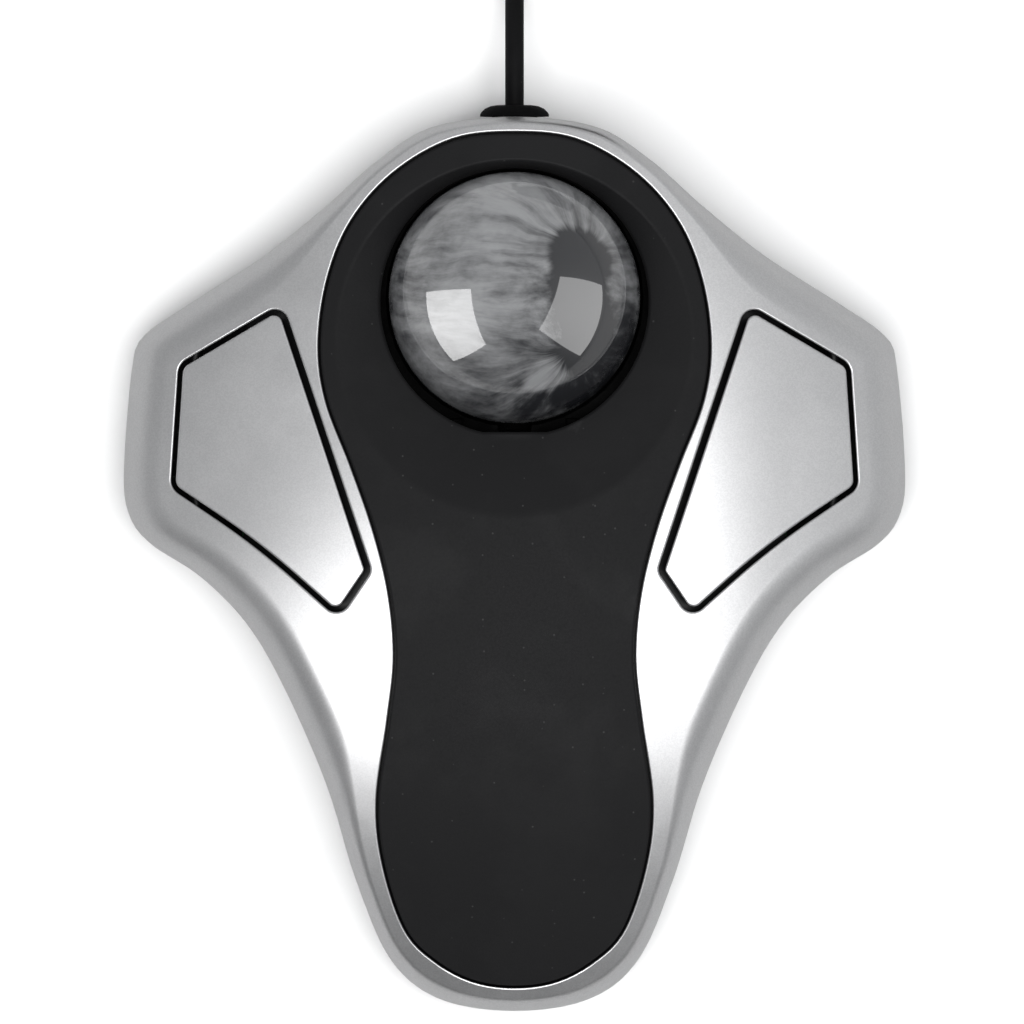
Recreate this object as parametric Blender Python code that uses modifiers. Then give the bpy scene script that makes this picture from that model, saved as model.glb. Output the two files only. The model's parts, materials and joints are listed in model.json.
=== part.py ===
"""Trackball mouse: a two-winged housing with a 40 mm ball, two click buttons and a USB lead.

Frame: metres, +Z up. +Y points to the rear, where the lead leaves, +X to the right.
The origin lies on the table under the middle of the housing.
"""
import math

import bmesh
import bpy
import numpy as np
from mathutils import Euler, Vector
from mathutils.geometry import delaunay_2d_cdt

# Housing, overall
BODY_LENGTH = 0.1430
BODY_WIDTH = 0.1250
CROWN_HEIGHT = 0.0336       # highest point of the palm surface
CROWN_Y = 0.0080            # where that point lies
REAR_DROP = 0.0065          # fall of the centre line from the crown to the rear edge
FRONT_DROP = 0.0220         # fall of the centre line from the crown to the front edge
FRONT_CURVE = 2.2           # power of the front fall
SIDE_DROP = 0.0164          # fall from the centre line to the side edges
RIM_ROUND = 0.0060          # rounding of the rim, in plan and in height
RIM_SHARE = 0.55            # most of the silver band that the rounding takes
WALL = 0.0022               # housing skin
GAP = 0.0003                # between pieces that touch
SKIN_GRID = 0.0065          # spacing of the surface points

# Levels of the lower half
BASE_Z = 0.0015             # underside of the base
FLOOR = 0.0020              # base floor thickness
FLANGE = 0.0012             # base edge below the parting line
FLANGE_INSET = 0.0006
LIP = 0.0015                # wall of the lip inside the shell
LIP_HEIGHT = 0.0040         # lip above the underside
BASE_BREAK = 0.0004         # broken lower edge of the base
FOOT_SIZE = (0.0150, 0.0070, 0.0012)
LABEL_SIZE = (0.0320, 0.0200, 0.0002)

# Centre panel and the funnel round the ball
PANEL_THICK = 0.0022
PANEL_GAP = 0.0004
LEDGE = 0.0020              # how far the shell reaches under the panel
LEDGE_THICK = 0.0015
LEDGE_BLEND = 0.0016        # width over which the skin thickens into the ledge
FUNNEL_DEPTH = 0.0030
FUNNEL_BORDER = 0.0025      # panel left beside the funnel where the panel is widest
FUNNEL_REAR = 0.00105       # width of the funnel behind the ball
HOLE_CLEARANCE = 0.00135    # round the ball
HOLE_SHIFT = 0.0007         # the hole sits this far in front of the ball's centre
HOLE_FLAT_DEPTH = 0.00065   # how far the hole's straight front edge cuts into its circle

# Ball, cup and bearings
BALL_DIAMETER = 0.0400
BALL_BEHIND = 0.0089        # from the ball to the rear of the housing
CUP_CLEARANCE = 0.0010
CUP_WALL = 0.0018
CUP_LIFT = 0.0004           # cup above the base floor if it had no hole
PUSH_HOLE_RADIUS = 0.0080
BEARING_RADIUS = 0.0015
BEARING_ELEVATION = math.radians(-38)
EAR_WIDTH = 0.0080
EAR_THICK = 0.0020
EAR_Z = 0.0110
EAR_REACH = 0.0028          # from the cup to an ear's screw
EAR_END = 0.0030            # and on to the end of the ear

# Sensor, behind a window in the front of the cup
SENSOR_TILT = math.radians(15)
WINDOW_RADIUS = 0.0030
LENS_SIZE = (0.0090, 0.0090, 0.0024)
CHIP_SIZE = (0.0100, 0.0090, 0.0028)
LED_SIZE = (0.0034, 0.0030, 0.0024)
SENSOR_BOARD_SIZE = (0.0250, 0.0130, 0.0012)
LENS_LIFT = 0.0006          # lens clear of the cup's curve
LED_OVERHANG = 0.0014       # how far the lamp reaches over the chip's lower edge
LINK_SIZE = (0.0125, 0.0025)
PILLAR_X = 0.0100
PILLAR_RADIUS = 0.0022

# Main board and what it carries
BOARD_Z = 0.0070
BOARD_THICK = 0.0016
BOARD_PAST_SWITCH = 0.0006  # board behind a switch
ARM_PAST_SWITCH = 0.0012    # and beyond its outer end
BOARD_ARM_FRONT = 0.0030
BOARD_TAIL_FRONT = -0.0240
BOARD_TAIL_HALF = 0.0160
CONTROLLER_SIZE = (0.0104, 0.0075, 0.0023)
CONTROLLER_AT = (0, -0.0060)
CRYSTAL_SIZE = (0.0046, 0.0108, 0.0035)
CRYSTAL_AT = (0.0105, -0.0120)
CAPACITOR_RADIUS = 0.0025
CAPACITOR_HEIGHT = 0.0070
CAPACITOR_AT = (-0.0100, -0.0130)
HEADER_SIZE = (0.0100, 0.0058, 0.0040)
HEADER_INSET = 0.0045       # header's middle in front of the board's rear edge
HEADER_CLEAR = 0.0011       # from the header to the switch beside it
CABLE_PLUG_SIZE = (0.0095, 0.0050, 0.0050)
SWITCH_SIZE = (0.0128, 0.0058, 0.0065)
PLUNGER_SIZE = (0.0030, 0.0014, 0.0021)
PLUNGER_PROUD = 0.0008
SLOT_DEPTH = 0.0026

# Buttons
BUTTON_GAP = 0.0009
BUTTON_SHIFT = 0.00015      # the gap is wider along the inner edge
STEM_RADIUS = 0.0020
HINGE_DROP = 0.0056         # hinge axis below the surface
HINGE_INSET = 0.0034        # hinge axis inside the outer edge
HINGE_RADIUS = 0.0012
HINGE_CLEARANCE = 0.0003
BRACKET_SIZE = 0.0040
BRACKET_THICK = 0.0018
BRACKET_CLEAR = 0.0014      # from a bracket to the edge of the button's opening
BRACKET_REAR_SHIFT = 0.0009 # added where the opening's corner curves in
BRACKET_FRONT_SHIFT = 0.0018
LUG_THICK = 0.0020
LUG_WIDTH = 0.0032
LUG_INSET = 0.0030          # from the button's corner along the hinge
LUG_BELOW = 0.0006          # lug below the hinge bar

# Screws, wells and posts
SCREW_RADIUS = 0.0009
SCREW_HEAD_RADIUS = 0.0022
SCREW_HEAD = 0.0012
BASE_SCREW_LENGTH = 0.0085
POST_SCREW_LENGTH = 0.0050
BOARD_SCREW_LENGTH = 0.0042
PILOT_RADIUS = 0.0012
POST_RADIUS = 0.0024
BOSS_DEPTH = 0.0070         # pilot hole in a boss of the shell or the panel
BOARD_POST_DEPTH = 0.0028   # in a post for the main board
CUP_POST_DEPTH = 0.0060     # in a post for the cup
WELL_RADIUS = 0.0026
WELL_WALL = 0.0009
WELL_DEPTH = 0.0018
WELL_ROOF = 0.0016

# Lead
CORD_DIAMETER = 0.0030
CORD_Z = 0.0105
LEAD_DIAMETER = 0.0024
RELIEF_RADIUS = 0.0046
RELIEF_OVAL = 1.2
RELIEF_NECK = 0.0030
RELIEF_FACE = 0.0018        # face outside the wall
RELIEF_FLANGE = 0.0018      # flange inside it
COIL_RADIUS = 0.0177        # middle of the turns
COIL_ACROSS = 4             # cords side by side, and as many layers
COIL_LIFT = 0.0010
COIL_Y = 0.1250
TIE_WIDTH = 0.0060
TIE_THICK = 0.0006
PLUG_SIZE = (0.0220, 0.0150, 0.0076)
PLUG_SHELL_SIZE = (0.0120, 0.0120, 0.0045)
PLUG_SHELL_WALL = 0.0004
PLUG_BOOT = 0.0060
BOOT_RADII = (0.0024, 0.0034)   # at the cord and at the grip
INSERT_HEIGHT = 0.0018
INSERT_SHORT = 0.0020       # contact block shorter than the metal shell
SHELL_FLOOR = 0.0006        # closed end of the metal shell
TAIL_LENGTH = 0.0080

HALF_L = BODY_LENGTH / 2
HALF_W = BODY_WIDTH / 2
BALL_R = BALL_DIAMETER / 2
COIL_SECTION = COIL_ACROSS * CORD_DIAMETER
FLOOR_Z = BASE_Z + FLOOR
SKIRT_Z = BASE_Z + FLANGE + GAP
BALL_Y = HALF_L - BALL_BEHIND - BALL_R
CUP_INNER = BALL_R + CUP_CLEARANCE
CUP_OUTER = CUP_INNER + CUP_WALL
BALL_Z = FLOOR_Z + CUP_LIFT + CUP_OUTER
BALL_CENTRE = Vector((0, BALL_Y, BALL_Z))
HOLE_R = BALL_R + HOLE_CLEARANCE
HOLE_Y = BALL_Y - HOLE_SHIFT
BOARD_TOP = BOARD_Z + BOARD_THICK
SWITCH_TOP = BOARD_TOP + GAP + SWITCH_SIZE[2]
EAR_X = CUP_OUTER + EAR_REACH

# Half outlines from the rear to the front, in half widths and half lengths of the housing
SILHOUETTE = ((0, 1), (0.206, 0.978), (0.344, 0.906), (0.483, 0.799), (0.638, 0.691),
              (0.829, 0.585), (0.949, 0.512), (0.979, 0.441), (1, 0.21), (0.986, 0.112),
              (0.931, 0.048), (0.803, -0.025), (0.683, -0.131), (0.586, -0.276),
              (0.48, -0.49), (0.405, -0.705), (0.317, -0.884), (0.192, -0.973), (0, -1))
PANEL = ((0, 0.959), (0.157, 0.943), (0.304, 0.87), (0.411, 0.764), (0.47, 0.638),
         (0.493, 0.495), (0.475, 0.369), (0.413, 0.227), (0.355, 0.083), (0.315, -0.06),
         (0.301, -0.204), (0.318, -0.347), (0.346, -0.526), (0.33, -0.669),
         (0.275, -0.813), (0.197, -0.884), (0.104, -0.927), (0, -0.94))
# Right button: corners and their radii
BUTTON = (((0.594, 0.575), 0.0018), ((0.85, 0.445), 0.0022), ((0.87, 0.175), 0.0022),
          ((0.648, 0.045), 0.12), ((0.448, -0.11), 0.0018), ((0.371, -0.011), 0.0015))
REAR_BOSS = (0.522, 0.629)
MIDDLE_BOSS = (0.538, -0.129)
FRONT_BOSS = (0, -0.7)
SWITCH_AT = (0.576, 0.196)
WING_FOOT = (0.72, 0.3)
FRONT_FOOT = (0.25, -0.66)
REAR_FOOT = (0, 0.87)
LABEL_AT = (0, -0.3)

FUNNEL_R = max(u for u, _ in PANEL) * HALF_W - FUNNEL_BORDER
FUNNEL_Y = HOLE_Y + HOLE_R + FUNNEL_REAR - FUNNEL_R
ARM_REAR = SWITCH_AT[1] * HALF_L + SWITCH_SIZE[1] / 2 + BOARD_PAST_SWITCH

SILVER = ("silver paint", (0.56, 0.56, 0.57), 0.34, 0.75)
BLACK = ("soft black", (0.022, 0.022, 0.024), 0.55, 0.0)
PEARL = ("pearl grey", (0.20, 0.20, 0.21), 0.12, 0.2)
DARK = ("dark plastic", (0.03, 0.03, 0.032), 0.5, 0.0)
STEEL = ("steel", (0.6, 0.6, 0.61), 0.3, 1.0)
GREEN = ("board green", (0.02, 0.12, 0.05), 0.45, 0.0)
CLEAR = ("clear plastic", (0.8, 0.82, 0.84), 0.08, 0.0)
RED = ("led red", (0.5, 0.03, 0.03), 0.2, 0.0)
RUBBER = ("rubber", (0.03, 0.03, 0.03), 0.75, 0.0)
CREAM = ("cream plastic", (0.7, 0.68, 0.6), 0.45, 0.0)
LABEL = ("label grey", (0.5, 0.5, 0.5), 0.6, 0.0)
CORD = ("cord black", (0.02, 0.02, 0.02), 0.5, 0.0)


# Collections, materials and objects

def clear_scene():
    for obj in list(bpy.data.objects):
        bpy.data.objects.remove(obj)


def collection(name):
    found = bpy.data.collections.get(name)
    if found is None:
        found = bpy.data.collections.new(name)
        bpy.context.scene.collection.children.link(found)
    return found


def material(spec):
    name, colour, roughness, metallic = spec
    found = bpy.data.materials.get(name)
    if found is None:
        found = bpy.data.materials.new(name)
        found.use_nodes = True
        shader = found.node_tree.nodes["Principled BSDF"]
        shader.inputs["Base Color"].default_value = (*colour, 1)
        shader.inputs["Roughness"].default_value = roughness
        shader.inputs["Metallic"].default_value = metallic
    return found


def place(name, data, spec):
    """An object of the model, or a tool when it has no material."""
    obj = bpy.data.objects.new(name, data)
    if spec is None:
        collection("cutters").objects.link(obj)
        obj.hide_render = True
        obj.display_type = "WIRE"
    else:
        collection("trackball_mouse").objects.link(obj)
        data.materials.append(material(spec))
    return obj


def from_bmesh(name, bm, spec):
    bmesh.ops.recalc_face_normals(bm, faces=bm.faces)
    mesh = bpy.data.meshes.new(name)
    bm.to_mesh(mesh)
    bm.free()
    mesh.shade_smooth()
    mesh.set_sharp_from_angle(angle=math.radians(35))
    return place(name, mesh, spec)


def box(name, size, centre, spec=None, turn=(0, 0, 0), bevel=0):
    bm = bmesh.new()
    bmesh.ops.create_cube(bm, size=1)
    bmesh.ops.scale(bm, vec=size, verts=bm.verts)
    obj = from_bmesh(name, bm, spec)
    obj.location = centre
    obj.rotation_euler = turn
    if bevel:
        rounding = obj.modifiers.new("rounding", "BEVEL")
        rounding.width = bevel
        rounding.segments = 2
    return obj


def rod(name, radius, start, end, spec=None, sides=20):
    """A round bar between two points."""
    start, end = Vector(start), Vector(end)
    bm = bmesh.new()
    bmesh.ops.create_cone(bm, cap_ends=True, segments=sides, radius1=radius, radius2=radius,
                          depth=(end - start).length)
    obj = from_bmesh(name, bm, spec)
    obj.location = (start + end) / 2
    obj.rotation_euler = (end - start).to_track_quat("Z", "Y").to_euler()
    return obj


def turned(name, profile, centre, spec=None, turn=(0, 0, 0), steps=24, closed=True):
    """A profile of (radius, height) points turned about its own Z axis."""
    mesh = bpy.data.meshes.new(name)
    edges = [(i, i + 1) for i in range(len(profile) - 1)]
    if closed:
        edges.append((len(profile) - 1, 0))
    mesh.from_pydata([(r, 0, z) for r, z in profile], edges, [])
    obj = place(name, mesh, spec)
    obj.location = centre
    obj.rotation_euler = turn
    screw = obj.modifiers.new("turn", "SCREW")
    screw.steps = steps
    screw.render_steps = steps
    screw.use_merge_vertices = True
    screw.merge_threshold = 0.00001
    screw.use_smooth_shade = True
    return obj


def plate(name, loops, low, high, spec=None):
    """A flat plate between two levels: an outline, then its holes."""
    curve = bpy.data.curves.new(name, "CURVE")
    curve.dimensions = "2D"
    curve.fill_mode = "BOTH"
    curve.extrude = (high - low) / 2
    for loop in loops:
        spline = curve.splines.new("POLY")
        spline.points.add(len(loop) - 1)
        spline.use_cyclic_u = True
        for point, (x, y) in zip(spline.points, loop):
            point.co = (x, y, 0, 1)
    obj = place(name, curve, spec)
    obj.location = (0, 0, (low + high) / 2)
    return obj


def tube(name, points, diameter, spec):
    """A round cord along points that are read from a smooth curve."""
    curve = bpy.data.curves.new(name, "CURVE")
    curve.dimensions = "3D"
    curve.bevel_depth = diameter / 2
    curve.bevel_resolution = 2
    curve.use_fill_caps = True
    spline = curve.splines.new("POLY")
    spline.points.add(len(points) - 1)
    for point, at in zip(spline.points, points):
        point.co = (*at, 1)
    return place(name, curve, spec)


def combine(target, operation, tools):
    for tool in tools:
        step = target.modifiers.new(tool.name, "BOOLEAN")
        step.operation = operation
        step.solver = "EXACT"
        step.object = tool


# Outlines

def spread(points, count, closed=False):
    """Evenly spaced points along a smooth curve through the given ones."""
    given = np.array(points, dtype=float)
    if closed:
        before, after = given[-2], given[1]
    else:
        before, after = 2 * given[0] - given[1], 2 * given[-1] - given[-2]
    line = np.vstack([before, given, after])
    fine = []
    for a, b, c, d in zip(line, line[1:], line[2:], line[3:]):
        for t in np.linspace(0, 1, 24, endpoint=False):
            fine.append(0.5 * (2 * b + (c - a) * t + (2 * a - 5 * b + 4 * c - d) * t * t
                               + (3 * b - a - 3 * c + d) * t ** 3))
    fine = np.array(fine + [given[-1]])
    along = np.concatenate([[0], np.cumsum(np.linalg.norm(np.diff(fine, axis=0), axis=1))])
    wanted = np.linspace(0, along[-1], count + 1)
    return np.stack([np.interp(wanted, along, fine[:, k]) for k in range(fine.shape[1])], axis=1)


def at(place_on_body):
    """Half widths and half lengths of the housing turned into metres."""
    u, v = place_on_body
    return (u * HALF_W, v * HALF_L)


def full_outline(half, count):
    """A closed loop, the same on both sides, with 2 * count points."""
    right = [at(p) for p in half]
    mirrored = [(-x, y) for x, y in right]
    loop = mirrored[1:2] + right + mirrored[-2:-1]
    fine = spread(loop, count * 40)
    first = int(np.argmin(np.hypot(*(fine - right[0]).T)))
    last = int(np.argmin(np.hypot(*(fine - right[-1]).T)))
    side = spread(fine[first:last + 1:10], count)
    side[0, 0] = side[-1, 0] = 0
    return np.vstack([side, side[-2:0:-1] * (-1, 1)])


def offset(loop, distance):
    """The closed loop grown by a distance, or shrunk when it is negative."""
    ahead, behind = np.roll(loop, -1, axis=0), np.roll(loop, 1, axis=0)
    run = ahead - behind
    area = np.sum(loop[:, 0] * ahead[:, 1] - ahead[:, 0] * loop[:, 1])
    outward = np.stack([run[:, 1], -run[:, 0]], axis=1) * np.sign(area)
    outward /= np.linalg.norm(outward, axis=1, keepdims=True)
    return loop + outward * distance


def rounded(corners, steps):
    """A closed loop through corners, each with its own radius."""
    loop = []
    count = len(corners)
    for i, (corner, radius) in enumerate(corners):
        here = Vector(corner)
        back = (Vector(corners[i - 1][0]) - here).normalized()
        ahead = (Vector(corners[(i + 1) % count][0]) - here).normalized()
        half = back.angle(ahead) / 2
        reach = radius / math.tan(half)
        middle = here + (back + ahead).normalized() * (radius / math.sin(half))
        first, last = here + back * reach - middle, here + ahead * reach - middle
        for k in range(steps + 1):
            direction = first.lerp(last, k / steps).normalized()
            loop.append(tuple(middle + direction * radius))
    return np.array(loop)


def circle(centre, radius, count):
    angles = (np.arange(count) + 0.5) * 2 * math.pi / count
    return np.stack([centre[0] + radius * np.cos(angles),
                     centre[1] + radius * np.sin(angles)], axis=1)


def ball_hole(count):
    """Round hole for the ball with a straight front edge."""
    loop = circle((0, 0), HOLE_R, count)
    loop[:, 1] = np.maximum(loop[:, 1], HOLE_FLAT_DEPTH - HOLE_R)
    return loop + (0, HOLE_Y)


def mirror(loop):
    return loop * (-1, 1)


# The curved top surface

def dome(xy):
    """Height of the housing's surface, before its rim is rounded."""
    x, y = xy[:, 0], xy[:, 1]
    behind = np.clip((y - CROWN_Y) / (HALF_L - CROWN_Y), 0, None)
    ahead = np.clip((CROWN_Y - y) / (HALF_L + CROWN_Y), 0, None)
    line = CROWN_HEIGHT - REAR_DROP * behind ** 2 - FRONT_DROP * ahead ** FRONT_CURVE
    return line - SIDE_DROP * (x / HALF_W) ** 2


def panel_top(xy):
    """The panel follows the dome, and falls into a funnel round the ball."""
    to_rim = FUNNEL_R - np.hypot(xy[:, 0], xy[:, 1] - FUNNEL_Y)
    to_hole = np.hypot(xy[:, 0], xy[:, 1] - HOLE_Y) - HOLE_R
    share = np.clip(to_rim, 0, None) / (np.abs(to_rim) + np.clip(to_hole, 0, None) + 1e-6)
    return dome(xy) - FUNNEL_DEPTH * share


def lift(loop, height):
    """Plan points with a height each."""
    return np.column_stack([loop, np.broadcast_to(height, len(loop))])


def inside(points, loop):
    """Which points lie inside a closed loop."""
    x, y = points[:, 0:1], points[:, 1:2]
    x0, y0 = loop[:, 0], loop[:, 1]
    x1, y1 = np.roll(x0, -1), np.roll(y0, -1)
    crosses = (y0 > y) != (y1 > y)
    rise = np.where(y1 == y0, 1, y1 - y0)
    return np.sum(crosses & (x < x0 + (y - y0) * (x1 - x0) / rise), axis=1) % 2 == 1


def fill(loops, spacing, marks):
    """Plan points and triangles that fill the first loop around the others, through the marks."""
    edge = np.vstack(loops)
    low, high = edge.min(axis=0), edge.max(axis=0)
    rows = np.arange(low[1], high[1], spacing * 0.87)
    grid = []
    for k, y in enumerate(rows):
        for x in np.arange(low[0] + (k % 2) * spacing / 2, high[0], spacing):
            grid.append((x, y))
    grid = np.array(grid)
    keep = inside(grid, loops[0])
    for loop in loops[1:]:
        keep &= ~inside(grid, loop)
    taken = np.vstack([edge, marks])
    clear = np.min(np.linalg.norm(grid[:, None] - taken[None], axis=2), axis=1) > spacing * 0.5
    grid = np.vstack([marks, grid[keep & clear]])
    edges, start = [], 0
    for loop in loops:
        edges += [(start + i, start + (i + 1) % len(loop)) for i in range(len(loop))]
        start += len(loop)
    plan = [Vector(p) * 1000 for p in np.vstack([edge, grid])]
    found = delaunay_2d_cdt(plan, edges, [], 0, 1e-5)
    points = np.array([tuple(v) for v in found[0]]) / 1000
    faces = np.array([f for f in found[2]])
    middle = points[faces].mean(axis=1)
    wanted = inside(middle, loops[0])
    for loop in loops[1:]:
        wanted &= ~inside(middle, loop)
    return points, faces[wanted]


def skin_solid(name, top_loops, top, bottom_loops, bottom, rings, spec, spacing=SKIN_GRID,
               marks=np.empty((0, 2))):
    """A closed solid between two surfaces; rings lead from each top edge to its bottom edge."""
    bm = bmesh.new()
    edges = []
    for loops, height in ((top_loops, top), (bottom_loops, bottom)):
        points, faces = fill(loops, spacing, marks)
        verts = [bm.verts.new(p) for p in lift(points, height(points))]
        for face in faces:
            bm.faces.new([verts[i] for i in face])
        starts = np.cumsum([0] + [len(loop) for loop in loops])
        edges.append([verts[a:b] for a, b in zip(starts, starts[1:])])
    for top_edge, bottom_edge, between in zip(edges[0], edges[1], rings):
        chain = [top_edge] + [[bm.verts.new(p) for p in ring] for ring in between] + [bottom_edge]
        count = len(top_edge)
        for upper, lower in zip(chain, chain[1:]):
            for i in range(count):
                j = (i + 1) % count
                bm.faces.new((upper[i], upper[j], lower[j], lower[i]))
    return from_bmesh(name, bm, spec)


def under_skin(x, y, reach):
    """A level inside the skin over a small footprint."""
    corners = np.array([(x + dx, y + dy) for dx in (-reach, reach) for dy in (-reach, reach)])
    return float(dome(corners).min()) - WALL * 0.6


# Screws and the bosses they hold

def screw(name, centre, length, up=True, turn=(0, 0, 0)):
    """Pan-head screw whose head underside is at the centre; up says that the shank points up."""
    sign = 1 if up else -1
    profile = [(0, -SCREW_HEAD), (SCREW_HEAD_RADIUS * 0.8, -SCREW_HEAD),
               (SCREW_HEAD_RADIUS, -SCREW_HEAD * 0.55), (SCREW_HEAD_RADIUS, 0),
               (SCREW_RADIUS, 0), (SCREW_RADIUS, length - 0.001), (0, length)]
    profile = [(r, z * sign) for r, z in profile]
    if up:
        profile.reverse()
    body = turned(name, profile, centre, STEEL, turn, steps=12, closed=False)
    cross = []
    for k in range(2):
        bar = box(f"{name}_cross_{k}", (0.0024, 0.0005, 0.0012), (0, 0, 0))
        bar.rotation_euler = Euler(turn)
        bar.rotation_euler.rotate_axis("Z", math.pi / 2 * k)
        bar.location = Vector(centre) + Euler(turn).to_matrix() @ Vector((0, 0, -SCREW_HEAD * sign))
        cross.append(bar)
    combine(body, "DIFFERENCE", cross)


def post(name, centre, low, high, depth, radius=POST_RADIUS):
    """A hollow round post whose pilot hole opens at its free end, which is the second level."""
    step = 1 if high > low else -1
    floor = high - step * depth
    profile = [(0, low), (radius, low), (radius, high), (PILOT_RADIUS, high),
               (PILOT_RADIUS, floor), (0, floor)]
    if step > 0:
        profile.reverse()
    return turned(name, profile, (*centre, 0), steps=14, closed=False)


def base_screw_places():
    places = {"front": at(FRONT_BOSS)}
    for side, sign in (("right", 1), ("left", -1)):
        places[f"rear_{side}"] = (sign * at(REAR_BOSS)[0], at(REAR_BOSS)[1])
        places[f"middle_{side}"] = (sign * at(MIDDLE_BOSS)[0], at(MIDDLE_BOSS)[1])
    return places


def board_screw_places():
    x = at(SWITCH_AT)[0] - SWITCH_SIZE[0] / 2 - POST_RADIUS - 0.002
    y = BOARD_ARM_FRONT + POST_RADIUS + 0.001
    return {"right": (x, y), "left": (-x, y), "front": (0, BOARD_TAIL_FRONT + 0.004)}


WELL_TOP = BASE_Z + WELL_DEPTH + WELL_ROOF
BOSS_BOTTOM = WELL_TOP + GAP
OUTLINE = full_outline(SILHOUETTE, 40)
PANEL_EDGE = full_outline(PANEL, 32)
BUTTON_LINE = rounded([(at(corner), radius) for corner, radius in BUTTON], 3)
HINGE_X = max(BUTTON_LINE[:, 0]) - HINGE_INSET
HINGE_REAR = at(BUTTON[1][0])[1]
HINGE_FRONT = at(BUTTON[2][0])[1]
HINGE_Z = float(dome(np.array([(HINGE_X, (HINGE_REAR + HINGE_FRONT) / 2)]))[0]) - HINGE_DROP


# Housing

def bracket_places():
    """The two ends of a hinge, just outside the button's opening."""
    past = BUTTON_GAP + BRACKET_THICK / 2 + BRACKET_CLEAR
    return (HINGE_REAR + past + BRACKET_REAR_SHIFT, HINGE_FRONT - past - BRACKET_FRONT_SHIFT)


def away(points, loop):
    """Distance from each point to the nearest point of a loop, negative inside it."""
    near = np.min(np.linalg.norm(points[:, None] - loop[None], axis=2), axis=1)
    return np.where(inside(points, loop), -near, near)


def shell_underside(xy):
    """Inner surface of the shell, which thickens into the ledge that carries the panel."""
    past = away(xy, spread(np.vstack([PANEL_EDGE, PANEL_EDGE[:1]]), 300, closed=True))
    near = np.clip(1 - (past - PANEL_GAP) / LEDGE_BLEND, 0, 1)
    return dome(xy) - WALL - (PANEL_THICK + GAP + LEDGE_THICK - WALL) * near


def top_shell():
    """Silver upper half: skin, rounded rim and skirt, with the panel's ledge and the button holes."""
    opening = offset(PANEL_EDGE, PANEL_GAP)
    width = np.minimum(RIM_ROUND, away(OUTLINE, opening) * RIM_SHARE)
    width = (np.roll(width, 1) + 2 * width + np.roll(width, -1))[:, None] / 4
    top_edge = offset(OUTLINE, -width)
    inner_edge = offset(OUTLINE, -np.maximum(width, WALL) - 0.0006)
    outer, inner = [], []
    for angle in np.radians((24, 46, 68, 90)):
        loop = offset(OUTLINE, -width * (1 - math.sin(angle)))
        outer.append(lift(loop, dome(loop) - RIM_ROUND * (1 - math.cos(angle))))
    for angle in np.radians((90, 60, 30)):
        loop = offset(OUTLINE, -WALL) * math.sin(angle) + inner_edge * (1 - math.sin(angle))
        thick = dome(inner_edge) - shell_underside(inner_edge)
        inner.append(lift(loop, dome(loop) - thick - (RIM_ROUND - thick) * (1 - math.cos(angle))))
    skirt = [lift(OUTLINE, SKIRT_Z), lift(offset(OUTLINE, -WALL), SKIRT_Z)]

    reach = offset(PANEL_EDGE, -LEDGE)
    drop = PANEL_THICK + GAP
    ledge = [lift(opening, panel_top(opening) - drop), lift(reach, panel_top(reach) - drop)]
    hole = offset(BUTTON_LINE, BUTTON_GAP / 2)
    shell = skin_solid("top_shell", [top_edge, opening, hole, mirror(hole)], dome,
                       [inner_edge, reach, hole, mirror(hole)], shell_underside,
                       [outer + skirt + inner, ledge, [], []], SILVER)
    added, holes = [], []
    for side, sign in (("right", 1), ("left", -1)):
        for label, spot in (("rear", REAR_BOSS), ("middle", MIDDLE_BOSS)):
            x, y = at(spot)
            high = under_skin(x, y, POST_RADIUS)
            added.append(post(f"boss_{label}_{side}", (sign * x, y), high, BOSS_BOTTOM, BOSS_DEPTH))
        for end, y in zip(("rear", "front"), bracket_places()):
            high = under_skin(HINGE_X, y, BRACKET_SIZE / 2)
            low = HINGE_Z - BRACKET_SIZE / 2
            added.append(box(f"bracket_{end}_{side}", (BRACKET_SIZE, BRACKET_THICK, high - low),
                             (sign * HINGE_X, y, (high + low) / 2)))
            holes.append(rod(f"bracket_hole_{end}_{side}", HINGE_RADIUS + HINGE_CLEARANCE,
                             (sign * HINGE_X, y - 0.002, HINGE_Z),
                             (sign * HINGE_X, y + 0.002, HINGE_Z), sides=16))
    neck = rod("relief_hole", RELIEF_NECK + GAP, (0, HALF_L - 0.004, CORD_Z),
               (0, HALF_L + 0.004, CORD_Z), sides=24)
    neck.scale = (RELIEF_OVAL, 1, 1)
    combine(shell, "UNION", added)
    combine(shell, "DIFFERENCE", holes + [neck])


def palm_panel():
    """Black centre panel with the ball's hole, held down by the front screw."""
    loops = [PANEL_EDGE, ball_hole(40)]
    panel = skin_solid("palm_panel", loops, panel_top, loops,
                       lambda p: panel_top(p) - PANEL_THICK, [[], []], BLACK,
                       marks=circle((0, FUNNEL_Y), FUNNEL_R, 40))
    x, y = at(FRONT_BOSS)
    combine(panel, "UNION", [post("boss_front", (x, y), under_skin(x, y, POST_RADIUS),
                                  BOSS_BOTTOM, BOSS_DEPTH)])


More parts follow.
